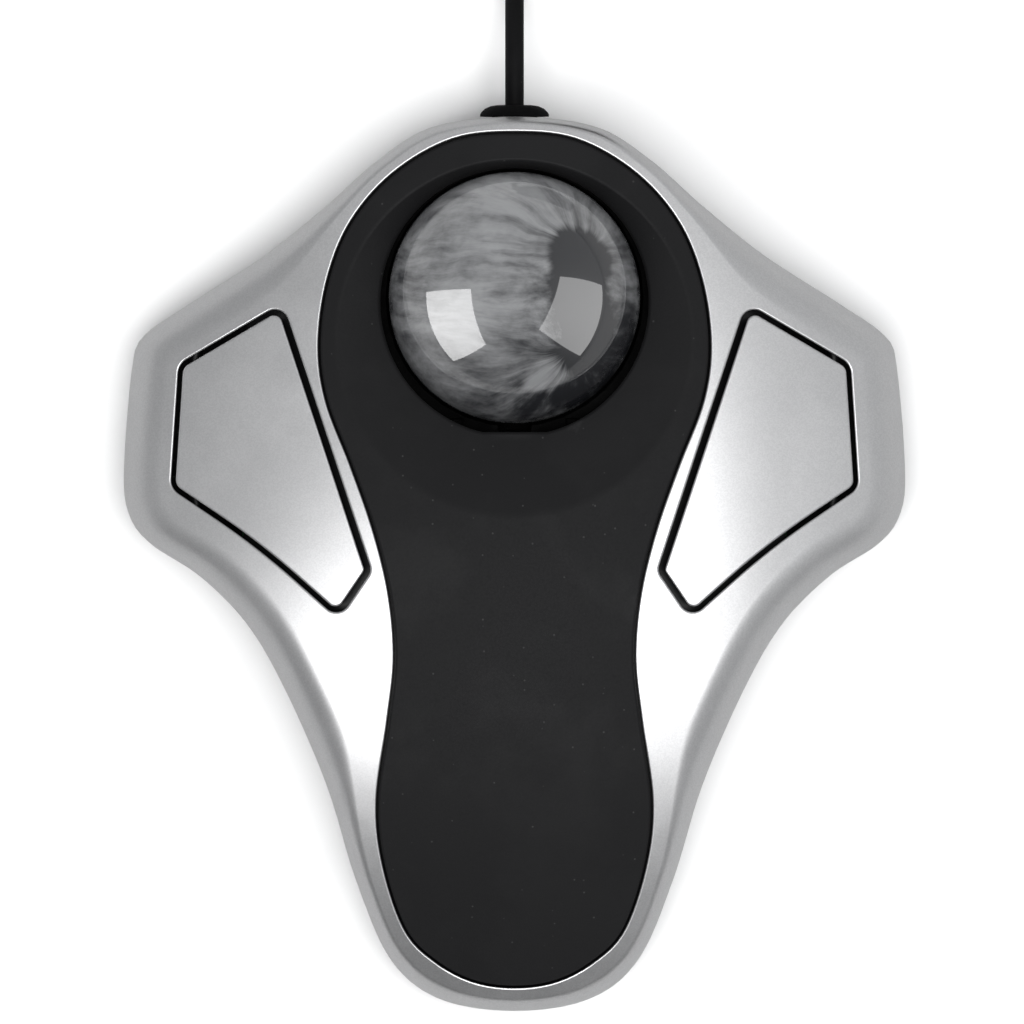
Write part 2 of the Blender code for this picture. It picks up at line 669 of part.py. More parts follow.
def base():
    """Lower half: a floor with a lip, screw wells, and posts for the cup and the main board."""
    wells = base_screw_places()
    loose = WELL_WALL / 2
    holes = [circle((0, BALL_Y), PUSH_HOLE_RADIUS, 32)]
    holes += [circle(spot, WELL_RADIUS + loose, 16) for spot in wells.values()]
    low_edge = offset(OUTLINE, -FLANGE_INSET - BASE_BREAK)
    floor_edge = offset(OUTLINE, -WALL - GAP - LIP)
    lip_edge = offset(OUTLINE, -WALL - GAP)
    flange = offset(OUTLINE, -FLANGE_INSET)
    rim = [lift(floor_edge, BASE_Z + LIP_HEIGHT), lift(lip_edge, BASE_Z + LIP_HEIGHT),
           lift(lip_edge, BASE_Z + FLANGE), lift(flange, BASE_Z + FLANGE),
           lift(flange, BASE_Z + BASE_BREAK)]
    body = skin_solid("base", [floor_edge] + holes, lambda p: np.full(len(p), FLOOR_Z),
                      [low_edge] + holes, lambda p: np.full(len(p), BASE_Z),
                      [rim] + [[] for _ in holes], DARK, spacing=0.024)
    added = []
    for label, spot in wells.items():
        roof = BASE_Z + WELL_DEPTH
        low = BASE_Z + BASE_BREAK
        profile = [(WELL_RADIUS + WELL_WALL, WELL_TOP), (WELL_RADIUS + WELL_WALL, low),
                   (WELL_RADIUS, low), (WELL_RADIUS, roof), (PILOT_RADIUS, roof),
                   (PILOT_RADIUS, WELL_TOP)]
        added.append(turned(f"well_{label}", profile, (*spot, 0), steps=16))
    for label, spot in board_screw_places().items():
        added.append(post(f"board_post_{label}", spot, BASE_Z + FLOOR / 2, BOARD_Z - GAP,
                          BOARD_POST_DEPTH))
    for side, sign in (("right", 1), ("left", -1)):
        added.append(post(f"cup_post_{side}", (sign * EAR_X, BALL_Y), BASE_Z + FLOOR / 2,
                          EAR_Z - GAP, CUP_POST_DEPTH))
    combine(body, "UNION", added)


def feet():
    spots = {"rear": at(REAR_FOOT)}
    for side, sign in (("right", 1), ("left", -1)):
        spots[f"front_{side}"] = (sign * at(FRONT_FOOT)[0], at(FRONT_FOOT)[1])
        spots[f"{side}_wing"] = (sign * at(WING_FOOT)[0], at(WING_FOOT)[1])
    for label, (x, y) in spots.items():
        turn = 0 if label == "rear" else math.pi / 2
        radius = FOOT_SIZE[1] / 2 - 0.0001
        corners = [((sx * FOOT_SIZE[0] / 2, sy * FOOT_SIZE[1] / 2), radius)
                   for sx, sy in ((1, 1), (1, -1), (-1, -1), (-1, 1))]
        pad = plate(f"{label}_foot", [rounded(corners, 5)], 0, FOOT_SIZE[2], RUBBER)
        pad.location.x, pad.location.y = x, y
        pad.rotation_euler.z = turn


def base_label():
    x, y = at(LABEL_AT)
    length, width, thick = LABEL_SIZE
    corners = [((x + sx * length / 2, y + sy * width / 2), 0.0015)
               for sx, sy in ((1, 1), (1, -1), (-1, -1), (-1, 1))]
    plate("base_label", [rounded(corners, 3)], BASE_Z - GAP - thick, BASE_Z - GAP, LABEL)


def base_screws():
    head = BASE_Z + WELL_DEPTH - GAP
    for label, spot in base_screw_places().items():
        screw(f"base_screw_{label}", (*spot, head), BASE_SCREW_LENGTH)


# Buttons

def button(side, sign):
    """Flush cap with a stem over its switch and a hinge bar near its outer edge."""
    edge = offset(BUTTON_LINE, -BUTTON_GAP / 2) + (BUTTON_SHIFT, 0)
    edge = edge * (sign, 1)
    cap = skin_solid(f"{side}_button", [edge], dome, [edge], lambda p: dome(p) - WALL, [[]],
                     SILVER)
    x, y = at(SWITCH_AT)
    stem_low = SWITCH_TOP + PLUNGER_PROUD + GAP
    added = [rod(f"{side}_stem", STEM_RADIUS, (sign * x, y, stem_low),
                 (sign * x, y, under_skin(x, y, STEM_RADIUS)))]
    rear, front = bracket_places()
    ends = BRACKET_THICK / 2 + GAP
    added.append(rod(f"{side}_hinge_bar", HINGE_RADIUS, (sign * HINGE_X, front - ends, HINGE_Z),
                     (sign * HINGE_X, rear + ends, HINGE_Z), sides=16))
    for label, lug_y in (("rear", HINGE_REAR - LUG_INSET), ("front", HINGE_FRONT + LUG_INSET)):
        high = under_skin(HINGE_X, lug_y, LUG_WIDTH / 2)
        low = HINGE_Z - HINGE_RADIUS - LUG_BELOW
        added.append(box(f"{side}_lug_{label}", (LUG_WIDTH, LUG_THICK, high - low),
                         (sign * HINGE_X, lug_y, (high + low) / 2)))
    combine(cap, "UNION", added)


# Ball and its cup

def ball():
    bm = bmesh.new()
    bmesh.ops.create_uvsphere(bm, u_segments=28, v_segments=16, radius=BALL_R)
    from_bmesh("ball", bm, PEARL).location = BALL_CENTRE


def bearing_places():
    reach = BALL_R + GAP + BEARING_RADIUS
    flat, drop = math.cos(BEARING_ELEVATION), math.sin(BEARING_ELEVATION)
    for label, angle in (("rear", 90), ("left", 210), ("right", 330)):
        turn = math.radians(angle)
        direction = Vector((math.cos(turn) * flat, math.sin(turn) * flat, drop))
        yield label, direction, BALL_CENTRE + direction * reach


def cup_rim():
    """The cup ends just under the panel, which is lowest behind the ball."""
    behind = np.array([(0, HOLE_Y + HOLE_R)])
    return min(float(panel_top(behind)[0]) - PANEL_THICK - 0.001, BALL_Z - 0.001) - BALL_Z


def sensor_point(across, up, out):
    """A point in the sensor's own frame: out is the distance from the ball's centre."""
    along = Vector((0, -math.cos(SENSOR_TILT), -math.sin(SENSOR_TILT)))
    rise = Vector((0, -math.sin(SENSOR_TILT), math.cos(SENSOR_TILT)))
    return BALL_CENTRE + Vector((across, 0, 0)) + rise * up + along * out


SENSOR_TURN = (math.pi / 2 + SENSOR_TILT, 0, 0)
LENS_OUT = CUP_OUTER + GAP + LENS_LIFT
CHIP_OUT = LENS_OUT + LENS_SIZE[2] + GAP
SENSOR_BOARD_OUT = CHIP_OUT + CHIP_SIZE[2] + GAP


def ball_cup():
    """Bowl round the lower ball, with bearing seats, a sensor window, pillars and two ears."""
    rim = cup_rim()
    start = math.asin(rim / CUP_OUTER)
    end = -math.acos(PUSH_HOLE_RADIUS / CUP_OUTER)
    profile = [(CUP_OUTER * math.cos(a), CUP_OUTER * math.sin(a))
               for a in np.linspace(start, end, 7)]
    start = -math.acos(PUSH_HOLE_RADIUS / CUP_INNER)
    end = math.asin(rim / CUP_INNER)
    profile += [(CUP_INNER * math.cos(a), CUP_INNER * math.sin(a))
                for a in np.linspace(start, end, 7)]
    cup = turned("ball_cup", profile, BALL_CENTRE, DARK, steps=32)
    added, cuts = [], []
    for label, direction, spot in bearing_places():
        seat = spot + direction * (BEARING_RADIUS + GAP)
        added.append(rod(f"seat_{label}", BEARING_RADIUS + 0.0012,
                         BALL_CENTRE + direction * (CUP_INNER + CUP_WALL * 0.4),
                         seat + direction * 0.0008, sides=16))
        cuts.append(rod(f"pocket_{label}", BEARING_RADIUS + GAP,
                        BALL_CENTRE + direction * (BALL_R * 0.9), seat, sides=16))
    for side, sign in (("right", 1), ("left", -1)):
        below = BALL_Z - EAR_Z - EAR_THICK
        inner = math.sqrt(CUP_INNER ** 2 - below ** 2) + 0.0005
        outer = EAR_X + EAR_END
        added.append(box(f"ear_{side}", (outer - inner, EAR_WIDTH, EAR_THICK),
                         (sign * (inner + outer) / 2, BALL_Y, EAR_Z + EAR_THICK / 2)))
        cuts.append(rod(f"ear_hole_{side}", PILOT_RADIUS, (sign * EAR_X, BALL_Y, EAR_Z - 0.001),
                        (sign * EAR_X, BALL_Y, EAR_Z + EAR_THICK + 0.001), sides=16))
        pillar_start = math.sqrt(CUP_INNER ** 2 - PILLAR_X ** 2) + CUP_WALL * 0.6
        added.append(rod(f"pillar_{side}", PILLAR_RADIUS,
                         sensor_point(sign * PILLAR_X, 0, pillar_start),
                         sensor_point(sign * PILLAR_X, 0, SENSOR_BOARD_OUT - GAP), sides=16))
        cuts.append(rod(f"pillar_hole_{side}", PILOT_RADIUS,
                        sensor_point(sign * PILLAR_X, 0, SENSOR_BOARD_OUT - 0.0052),
                        sensor_point(sign * PILLAR_X, 0, SENSOR_BOARD_OUT + 0.001), sides=16))
    cuts.append(rod("window", WINDOW_RADIUS, sensor_point(0, 0, BALL_R),
                    sensor_point(0, 0, CUP_OUTER + 0.002), sides=20))
    combine(cup, "UNION", added)
    combine(cup, "DIFFERENCE", cuts)
    for side, sign in (("right", 1), ("left", -1)):
        screw(f"cup_screw_{side}", (sign * EAR_X, BALL_Y, EAR_Z + EAR_THICK + GAP),
              POST_SCREW_LENGTH, up=False)


def ball_bearings():
    for label, _, spot in bearing_places():
        bm = bmesh.new()
        bmesh.ops.create_uvsphere(bm, u_segments=10, v_segments=6, radius=BEARING_RADIUS)
        from_bmesh(f"ball_bearing_{label}", bm, STEEL).location = spot


def sensor():
    """Lens, chip, lamp and board, stacked outwards from the window."""
    box("sensor_lens", LENS_SIZE, sensor_point(0, 0, LENS_OUT + LENS_SIZE[2] / 2), CLEAR,
        SENSOR_TURN, bevel=0.0005)
    box("sensor_chip", CHIP_SIZE, sensor_point(0, 0, CHIP_OUT + CHIP_SIZE[2] / 2), DARK,
        SENSOR_TURN, bevel=0.0003)
    box("sensor_led", LED_SIZE,
        sensor_point(0, LED_OVERHANG - CHIP_SIZE[1] / 2 - LED_SIZE[1] / 2,
                     SENSOR_BOARD_OUT + SENSOR_BOARD_SIZE[2] + GAP + LED_SIZE[2] / 2),
        RED, SENSOR_TURN, bevel=0.0004)
    board = box("sensor_board", SENSOR_BOARD_SIZE,
                sensor_point(0, 0, SENSOR_BOARD_OUT + SENSOR_BOARD_SIZE[2] / 2), GREEN,
                SENSOR_TURN)
    holes = []
    for side, sign in (("right", 1), ("left", -1)):
        holes.append(rod(f"sensor_hole_{side}", PILOT_RADIUS,
                         sensor_point(sign * PILLAR_X, 0, SENSOR_BOARD_OUT - 0.001),
                         sensor_point(sign * PILLAR_X, 0, SENSOR_BOARD_OUT + 0.003), sides=16))
        screw(f"sensor_screw_{side}",
              sensor_point(sign * PILLAR_X, 0, SENSOR_BOARD_OUT + SENSOR_BOARD_SIZE[2] + GAP),
              POST_SCREW_LENGTH, up=False, turn=SENSOR_TURN)
    combine(board, "DIFFERENCE", holes)
    foot = sensor_point(0, -SENSOR_BOARD_SIZE[1] / 2, SENSOR_BOARD_OUT + SENSOR_BOARD_SIZE[2] / 2)
    low, high = BOARD_TOP + GAP, foot.z - GAP - 0.0003
    box("sensor_link", (*LINK_SIZE, high - low), (0, foot.y, (low + high) / 2), DARK)


# Main board

def main_board():
    """T-shaped board: its arms reach under the buttons, its tail runs to the front."""
    arm = at(SWITCH_AT)[0] + SWITCH_SIZE[0] / 2 + ARM_PAST_SWITCH
    outline = [(arm, ARM_REAR), (arm, BOARD_ARM_FRONT), (BOARD_TAIL_HALF, BOARD_ARM_FRONT),
               (BOARD_TAIL_HALF, BOARD_TAIL_FRONT)]
    outline += [(-x, y) for x, y in reversed(outline)]
    holes = [circle(spot, PILOT_RADIUS, 16) for spot in board_screw_places().values()]
    plate("main_board", [outline] + holes, BOARD_Z, BOARD_TOP, GREEN)
    for label, spot in board_screw_places().items():
        screw(f"main_board_screw_{label}", (*spot, BOARD_TOP + GAP), BOARD_SCREW_LENGTH, up=False)
    sit = BOARD_TOP + GAP
    box("controller_chip", CONTROLLER_SIZE, (*CONTROLLER_AT, sit + CONTROLLER_SIZE[2] / 2), DARK,
        bevel=0.0003)
    box("crystal", CRYSTAL_SIZE, (*CRYSTAL_AT, sit + CRYSTAL_SIZE[2] / 2), STEEL, bevel=0.0010)
    rod("capacitor", CAPACITOR_RADIUS, (*CAPACITOR_AT, sit),
        (*CAPACITOR_AT, sit + CAPACITOR_HEIGHT), DARK)


def switches():
    """A snap switch under each button, with its plunger in a slot."""
    for side, sign in (("right", 1), ("left", -1)):
        x, y = at(SWITCH_AT)
        x *= sign
        middle = SWITCH_TOP - SWITCH_SIZE[2] / 2
        body = box(f"{side}_switch", SWITCH_SIZE, (x, y, middle), DARK)
        slot = box(f"{side}_slot", (PLUNGER_SIZE[0] + 2 * GAP, PLUNGER_SIZE[1] + 2 * GAP,
                                    SLOT_DEPTH * 2), (x, y, SWITCH_TOP))
        combine(body, "DIFFERENCE", [slot])
        box(f"{side}_switch_plunger", PLUNGER_SIZE,
            (x, y, SWITCH_TOP + PLUNGER_PROUD - PLUNGER_SIZE[2] / 2), RED, bevel=0.0003)


# Lead

def inner_wiring():
    """Header on the board, its plug, and the lead that runs round the cup to the rear wall."""
    x = -(at(SWITCH_AT)[0] - SWITCH_SIZE[0] / 2 - HEADER_CLEAR - HEADER_SIZE[0] / 2)
    y = ARM_REAR - HEADER_INSET
    low = BOARD_TOP + GAP
    box("cable_header", HEADER_SIZE, (x, y, low + HEADER_SIZE[2] / 2), CREAM, bevel=0.0003)
    plug_low = low + HEADER_SIZE[2] + GAP
    middle = plug_low + CABLE_PLUG_SIZE[2] / 2
    box("cable_plug", CABLE_PLUG_SIZE, (x, y, middle), CREAM, bevel=0.0004)
    start = y + CABLE_PLUG_SIZE[1] / 2 + GAP
    run = FLOOR_Z + GAP + LEAD_DIAMETER / 2
    end = HALF_L - WALL - GAP - RELIEF_FLANGE - GAP
    route = [(x, start, middle), (x, start + 0.004, middle - 0.0004),
             (-0.0225, start + 0.010, middle - 0.0040), (-0.0200, BALL_Y - 0.0100, run + 0.0004),
             (-0.0178, BALL_Y, run), (-0.0162, BALL_Y + 0.0080, run + 0.0003),
             (-0.0115, BALL_Y + 0.0150, run + 0.0010), (-0.0045, end - 0.0050, run + 0.0036),
             (0, end - 0.0022, CORD_Z), (0, end, CORD_Z)]
    tube("inner_lead", spread(route, 22), LEAD_DIAMETER, CORD)


def strain_relief():
    """Oval rubber grommet: a face outside the rear wall, a neck through it, a flange inside."""
    face = WALL + GAP
    profile = [(0, face + RELIEF_FACE), (RELIEF_RADIUS * 0.45, face + RELIEF_FACE),
               (RELIEF_RADIUS * 0.82, face + RELIEF_FACE * 0.75),
               (RELIEF_RADIUS, face + RELIEF_FACE * 0.3), (RELIEF_RADIUS, face),
               (RELIEF_NECK, face), (RELIEF_NECK, -GAP), (RELIEF_RADIUS * 0.85, -GAP),
               (RELIEF_RADIUS * 0.85, -GAP - RELIEF_FLANGE), (0, -GAP - RELIEF_FLANGE)]
    body = turned("strain_relief", profile, (0, HALF_L - WALL, CORD_Z), RUBBER,
                  (-math.pi / 2, 0, 0), steps=20, closed=False)
    body.scale = (RELIEF_OVAL, 1, 1)


def cord_route():
    """From the relief down to the table and along it to the coil's side."""
    start = HALF_L + GAP + RELIEF_FACE + GAP
    lie = CORD_DIAMETER / 2 + 0.0001
    return [(0, start, CORD_Z), (0, start + 0.0060, CORD_Z - 0.0002),
            (0, start + 0.0125, CORD_Z - 0.0024), (0, start + 0.0190, CORD_Z - 0.0062),
            (0, start + 0.0255, lie + 0.0007), (0, start + 0.0325, lie),
            (0, start + 0.0420, lie), (0, COIL_Y, lie)]


def cord():
    """The free lead: a run to the coil, the coil, a tail and the plug."""
    tube("usb_cord", spread(cord_route(), 20), CORD_DIAMETER, CORD)
    outside = COIL_RADIUS + COIL_SECTION / 2
    centre_x = outside + GAP + CORD_DIAMETER / 2
    half, soft = COIL_SECTION / 2, 0.0015
    middle = COIL_LIFT + half
    section = [(half - soft, half), (half, half - soft), (half, soft - half), (half - soft, -half),
               (soft - half, -half), (-half, soft - half), (-half, half - soft), (soft - half, half)]
    turned("usb_cord_coil", [(COIL_RADIUS + r, z) for r, z in section],
           (centre_x, COIL_Y, middle), CORD, steps=32)

    band_in = math.sqrt((COIL_RADIUS - half) ** 2 - (TIE_WIDTH / 2) ** 2) - GAP
    band_out = outside + GAP
    loops = []
    for grow in (TIE_THICK, 0):
        corners = [((a, b), 0.0016 + grow)
                   for a, b in ((band_out + grow, half + GAP + grow),
                                (band_out + grow, -half - GAP - grow),
                                (band_in - grow, -half - GAP - grow),
                                (band_in - grow, half + GAP + grow))]
        loops.append(rounded(corners, 3))
    tie = plate("cord_tie", loops, -TIE_WIDTH / 2, TIE_WIDTH / 2, RUBBER)
    tie.location = (centre_x, COIL_Y, middle)
    tie.rotation_euler = Euler((math.pi / 2, 0, 0))

    tail_y = COIL_Y + outside + GAP + CORD_DIAMETER / 2
    lie = PLUG_SIZE[2] / 2 + 0.0002
    low = CORD_DIAMETER / 2 + 0.0001
    route = [(centre_x, tail_y, low), (centre_x + TAIL_LENGTH * 0.25, tail_y, low + 0.0003),
             (centre_x + TAIL_LENGTH * 0.75, tail_y, lie - 0.0001),
             (centre_x + TAIL_LENGTH, tail_y, lie)]
    tube("usb_cord_tail", spread(route, 5), CORD_DIAMETER, CORD)
    plug(centre_x + TAIL_LENGTH + GAP, tail_y, lie)


def plug(x, y, z):
    """USB-A plug that points along +X: moulded grip, metal shell and contact block."""
    length, width, height = PLUG_SIZE
    thin, thick = BOOT_RADII
    sunk = PLUG_BOOT + 0.0020
    grip = box("usb_plug_body", (length - PLUG_BOOT, width, height),
               (x + PLUG_BOOT + (length - PLUG_BOOT) / 2, y, z), BLACK, bevel=0.0018)
    sleeve = turned("plug_boot", [(0, sunk), (thick, sunk), (thick, PLUG_BOOT), (thin, 0), (0, 0)],
                    (x, y, z), turn=(0, math.pi / 2, 0), steps=16, closed=False)
    combine(grip, "UNION", [sleeve])
    shell_length, shell_width, shell_height = PLUG_SHELL_SIZE
    start = x + length + GAP
    shell = box("usb_plug_shell", PLUG_SHELL_SIZE, (start + shell_length / 2, y, z), STEEL)
    hollow = box("plug_hollow", (shell_length, shell_width - 2 * PLUG_SHELL_WALL,
                                 shell_height - 2 * PLUG_SHELL_WALL),
                 (start + shell_length / 2 + SHELL_FLOOR, y, z))
    combine(shell, "DIFFERENCE", [hollow])
    insert_length = shell_length - INSERT_SHORT
    box("usb_plug_insert", (insert_length, shell_width - 2 * PLUG_SHELL_WALL - 2 * GAP,
                            INSERT_HEIGHT),
        (start + SHELL_FLOOR + GAP + insert_length / 2, y,
         z + shell_height / 2 - PLUG_SHELL_WALL - GAP - INSERT_HEIGHT / 2), CREAM)


def build():
    clear_scene()
    top_shell()
    palm_panel()
    base()
    feet()
    base_label()
    base_screws()
    for side, sign in (("right", 1), ("left", -1)):
        button(side, sign)
    ball()
    ball_cup()
    ball_bearings()
    sensor()
    main_board()
    switches()
    inner_wiring()
    strain_relief()
    cord()


build()
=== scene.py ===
import json
import math

import bmesh
import bpy
import numpy as np
from mathutils import Matrix, Vector
from mathutils.geometry import delaunay_2d_cdt


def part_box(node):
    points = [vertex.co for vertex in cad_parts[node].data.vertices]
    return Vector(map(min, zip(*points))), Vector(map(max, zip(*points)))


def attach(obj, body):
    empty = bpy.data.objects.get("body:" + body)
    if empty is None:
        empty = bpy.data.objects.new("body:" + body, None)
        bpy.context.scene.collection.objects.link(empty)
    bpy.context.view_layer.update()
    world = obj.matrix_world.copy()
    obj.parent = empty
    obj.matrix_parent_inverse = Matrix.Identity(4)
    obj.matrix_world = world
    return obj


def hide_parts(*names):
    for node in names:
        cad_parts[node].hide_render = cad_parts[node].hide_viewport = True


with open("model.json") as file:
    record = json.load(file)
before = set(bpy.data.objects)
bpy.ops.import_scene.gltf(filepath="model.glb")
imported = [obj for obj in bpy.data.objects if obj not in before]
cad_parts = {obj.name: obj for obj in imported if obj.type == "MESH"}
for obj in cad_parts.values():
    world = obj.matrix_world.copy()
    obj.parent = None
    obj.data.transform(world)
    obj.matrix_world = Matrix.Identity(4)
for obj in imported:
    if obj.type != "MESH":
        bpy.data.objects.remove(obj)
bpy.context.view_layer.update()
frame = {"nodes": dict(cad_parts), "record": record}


# Sizes of the housing, which repeat the ones that the frame was made to

SHELL_LOW, SHELL_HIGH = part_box("top_shell")
BASE_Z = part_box("base")[0].z
BALL_LOW, BALL_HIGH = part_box("ball")
HALF_L = SHELL_HIGH.y
HALF_W = SHELL_HIGH.x
BALL_R = (BALL_HIGH.z - BALL_LOW.z) / 2
BALL_CENTRE = (BALL_LOW + BALL_HIGH) / 2
CROWN_HEIGHT = 0.0336
CROWN_Y = 0.0080
REAR_DROP = 0.0065
FRONT_DROP = 0.0220
FRONT_CURVE = 2.2
SIDE_DROP = 0.0164
RIM_ROUND = 0.0060
RIM_SHARE = 0.55            # most of the silver's width that the rounded rim may take
RIM_INNER = 0.0006
WIDTH_PASSES = 14           # smoothing of the rim's width and of two outward directions
RIM_PASSES = 10
LIP_PASSES = 6
WALL = 0.0022
INTO_WALL = 0.6             # how far in the wall what hangs from it begins
GAP = 0.0003
SKIN_GRID = 0.0030          # spacing of points in the silver skin
PANEL_GRID = 0.0024
CAP_GRID = 0.0026
UNDER_GRID = 0.0045
FLOOR_GRID = 0.0090
ROW_SHARE = 0.87            # from one row of the grid to the next
CLEAR_SHARE = 0.5           # kept free of the grid round each loop
SAME_PLACE = 1e-5           # points closer than this, in millimetres, are one
EDGE_ROUND = 0.00035        # broken edge of the shell, panel and buttons
EDGE_STEPS = 4
RIM_STEPS = 11

SKIRT_Z = SHELL_LOW.z
SKIRT_EDGE = 0.0003
FLOOR_Z = BASE_Z + 0.0020
FLANGE = 0.0012
FLANGE_INSET = 0.0006
FLANGE_ROUND = 0.0004
LIP = 0.0015
LIP_HEIGHT = 0.0040

PANEL_THICK = 0.0022
PANEL_GAP = 0.0004
LEDGE = 0.0020
LEDGE_THICK = 0.0015
LEDGE_BLEND = 0.0016
FUNNEL_DEPTH = 0.0030
HOLE_CLEAR = 0.00135
HOLE_FORWARD = 0.0007
HOLE_R = BALL_R + HOLE_CLEAR
HOLE_Y = BALL_CENTRE.y - HOLE_FORWARD
HOLE_FLAT = 0.0207          # from the hole's centre to its straight front edge
HOLE_ROUND = 0.0005
HOLE_SIDES = 144
FUNNEL_FRONT = 0.01285      # how far the funnel reaches past the hole
FUNNEL_REAR = 0.00105
FUNNEL_R = HOLE_R + (FUNNEL_FRONT + FUNNEL_REAR) / 2
FUNNEL_Y = HOLE_Y - (FUNNEL_FRONT - FUNNEL_REAR) / 2
FUNNEL_RINGS = (0.06, 0.14, 0.24, 0.36, 0.5, 0.65, 0.8, 0.92, 1)
CREASE_OUT = 0.0005
PUSH_HOLE_RADIUS = 0.0080
PUSH_HOLE_EDGE = 0.0005
PUSH_HOLE_SIDES = 64

BUTTON_GAP = 0.0009
BUTTON_SHIFT = 0.00015
STEM_RADIUS = 0.0020
HINGE_DROP = 0.0056
HINGE_INSET = 0.0034
HINGE_RADIUS = 0.0012
HINGE_SIDES = 24
BRACKET_SIZE = 0.0040
BRACKET_THICK = 0.0018
BRACKET_CLEAR = 0.0014
BRACKET_REAR_SHIFT = 0.0009
BRACKET_FRONT_SHIFT = 0.0018
LUG_THICK = 0.0020
LUG_WIDTH = 0.0032
LUG_INSET = 0.0030
LUG_BELOW = 0.0006
SILL_FROM_HINGE = 0.0075
SILL = ((0.0012, 0.0014), (0.0012, 0.0052), (-0.0018, 0.0052), (-0.0018, 0.0043),
        (0.0003, 0.0043), (0.0003, 0.0014))     # outwards from the button's hole, depth

LABEL_BORDER = 0.0012
FOOT_STRAIGHT = 0.0001      # straight run left between the corners of a foot's end
FOOT_STEPS = 12
PILOT_RADIUS = 0.0012
POST_RADIUS = 0.0024
POST_SIDES = 24
POST_EDGE = 0.0002
BOSS_PILOT_DEPTH = 0.0070
POST_PILOT_DEPTH = 0.0028
CUP_EAR_Z = 0.0110
WELL_RADIUS = 0.0026
WELL_WALL = 0.0009
WELL_DEPTH = 0.0018
WELL_ROOF = 0.0016
WELL_SIDES = 32

SILHOUETTE = ((0, 1), (0.206, 0.978), (0.344, 0.906), (0.483, 0.799), (0.638, 0.691),
              (0.829, 0.585), (0.949, 0.512), (0.979, 0.441), (1, 0.21), (0.986, 0.112),
              (0.931, 0.048), (0.803, -0.025), (0.683, -0.131), (0.586, -0.276),
              (0.48, -0.49), (0.405, -0.705), (0.317, -0.884), (0.192, -0.973), (0, -1))
PANEL = ((0, 0.959), (0.157, 0.943), (0.304, 0.87), (0.411, 0.764), (0.47, 0.638),
         (0.493, 0.495), (0.475, 0.369), (0.413, 0.227), (0.355, 0.083), (0.315, -0.06),
         (0.301, -0.204), (0.318, -0.347), (0.346, -0.526), (0.33, -0.669),
         (0.275, -0.813), (0.197, -0.884), (0.104, -0.927), (0, -0.94))
BUTTON = (((0.594, 0.575), 0.0018), ((0.85, 0.445), 0.0022), ((0.87, 0.175), 0.0022),
          ((0.648, 0.045), 0.12), ((0.448, -0.11), 0.0018), ((0.371, -0.011), 0.0015))
SPAN_STEPS = 24
OUTLINE_POINTS = 150        # along one side, as are the panel's
PANEL_POINTS = 120
CORNER_STEPS = 8
BUTTON_STEP = 0.0015
SIDES = (("right", 1), ("left", -1))
REAR_BOSS = (0.522, 0.629)
MIDDLE_BOSS = (0.538, -0.129)
FRONT_BOSS = (0, -0.7)


# Camera and studio

FRAME_WIDTH = 0.1638        # what the camera takes in, at the height of the housing's edge
EDGE_HEIGHT = 0.0120
CAMERA_AT = Vector((-0.0004, 0.0085, 2.5))
SENSOR = 36
FLOOR_REACH = 2.0
LIGHTS_AIM = Vector((0, 0, 0.02))


def studio():
    """Camera straight above, a pale room and a pale floor that has a light of its own."""
    data = bpy.data.cameras.new("camera")
    data.sensor_width = SENSOR
    data.lens = SENSOR * (CAMERA_AT.z - EDGE_HEIGHT) / FRAME_WIDTH
    camera = bpy.data.objects.new("camera", data)
    camera.location = CAMERA_AT
    bpy.context.scene.collection.objects.link(camera)
    bpy.context.scene.camera = camera
    bpy.context.scene.view_settings.view_transform = "Standard"
    bpy.context.scene.world = surroundings()
    bm = bmesh.new()
    bmesh.ops.create_grid(bm, x_segments=8, y_segments=8, size=FLOOR_REACH)
    mesh = bpy.data.meshes.new("floor")
    bm.to_mesh(mesh)
    bm.free()
    floor = bpy.data.objects.new("floor", mesh)
    bpy.context.scene.collection.objects.link(floor)
    mesh.materials.append(floor_material())
    soft_light("backdrop_light", (0, 0.20, 1.80), (2.40, 2.00), 0.50, only=floor)


def object_lights(polished):
    """The ball's own gloss from two soft boxes and an even fill, and for the rest of the
    object a long light overhead and a strip in front, both flagged off from the ball."""
    turned_in = math.radians(-16)
    soft_light("left_softbox", (-0.74, -0.34, 0.42), (0.95, 0.80), 5.2, turned_in, only=polished,
               gives="gloss")
    soft_light("right_softbox", (0.74, -0.12, 0.44), (0.90, 0.85), 2.9, turned_in, only=polished,
               gives="gloss")
    soft_light("ball_fill", (-0.30, 0.05, 1.60), (2.00, 1.40), 1.4, only=polished, gives="even")
    soft_light("overhead", (0.02, -0.25, 1.60), (1.86, 0.68), 3.0, math.radians(14),
               flagged=polished)
    soft_light("front_strip", (-0.04, -0.62, 1.50), (2.50, 0.45), 2.0, flagged=polished)


def surroundings():
    """A pale room that is darker towards the front and a little brighter on the right."""
    world = bpy.data.worlds.new("studio")
    world.use_nodes = True
    tree = world.node_tree
    direction = add(tree, "SeparateXYZ", Vector=add(tree, "TexCoord").outputs["Generated"])
    front = ramp(tree, direction.outputs["Y"], -0.90, -0.15, 0.34, 1.0)
    side = ramp(tree, direction.outputs["X"], -0.8, 0.8, 0.84, 1.20)
    strength = times(tree, times(tree, front, side), 0.47)
    tree.links.new(strength, tree.nodes["Background"].inputs["Strength"])
    tree.nodes["Background"].inputs["Color"].default_value = (0.98, 0.99, 1, 1)
    return world


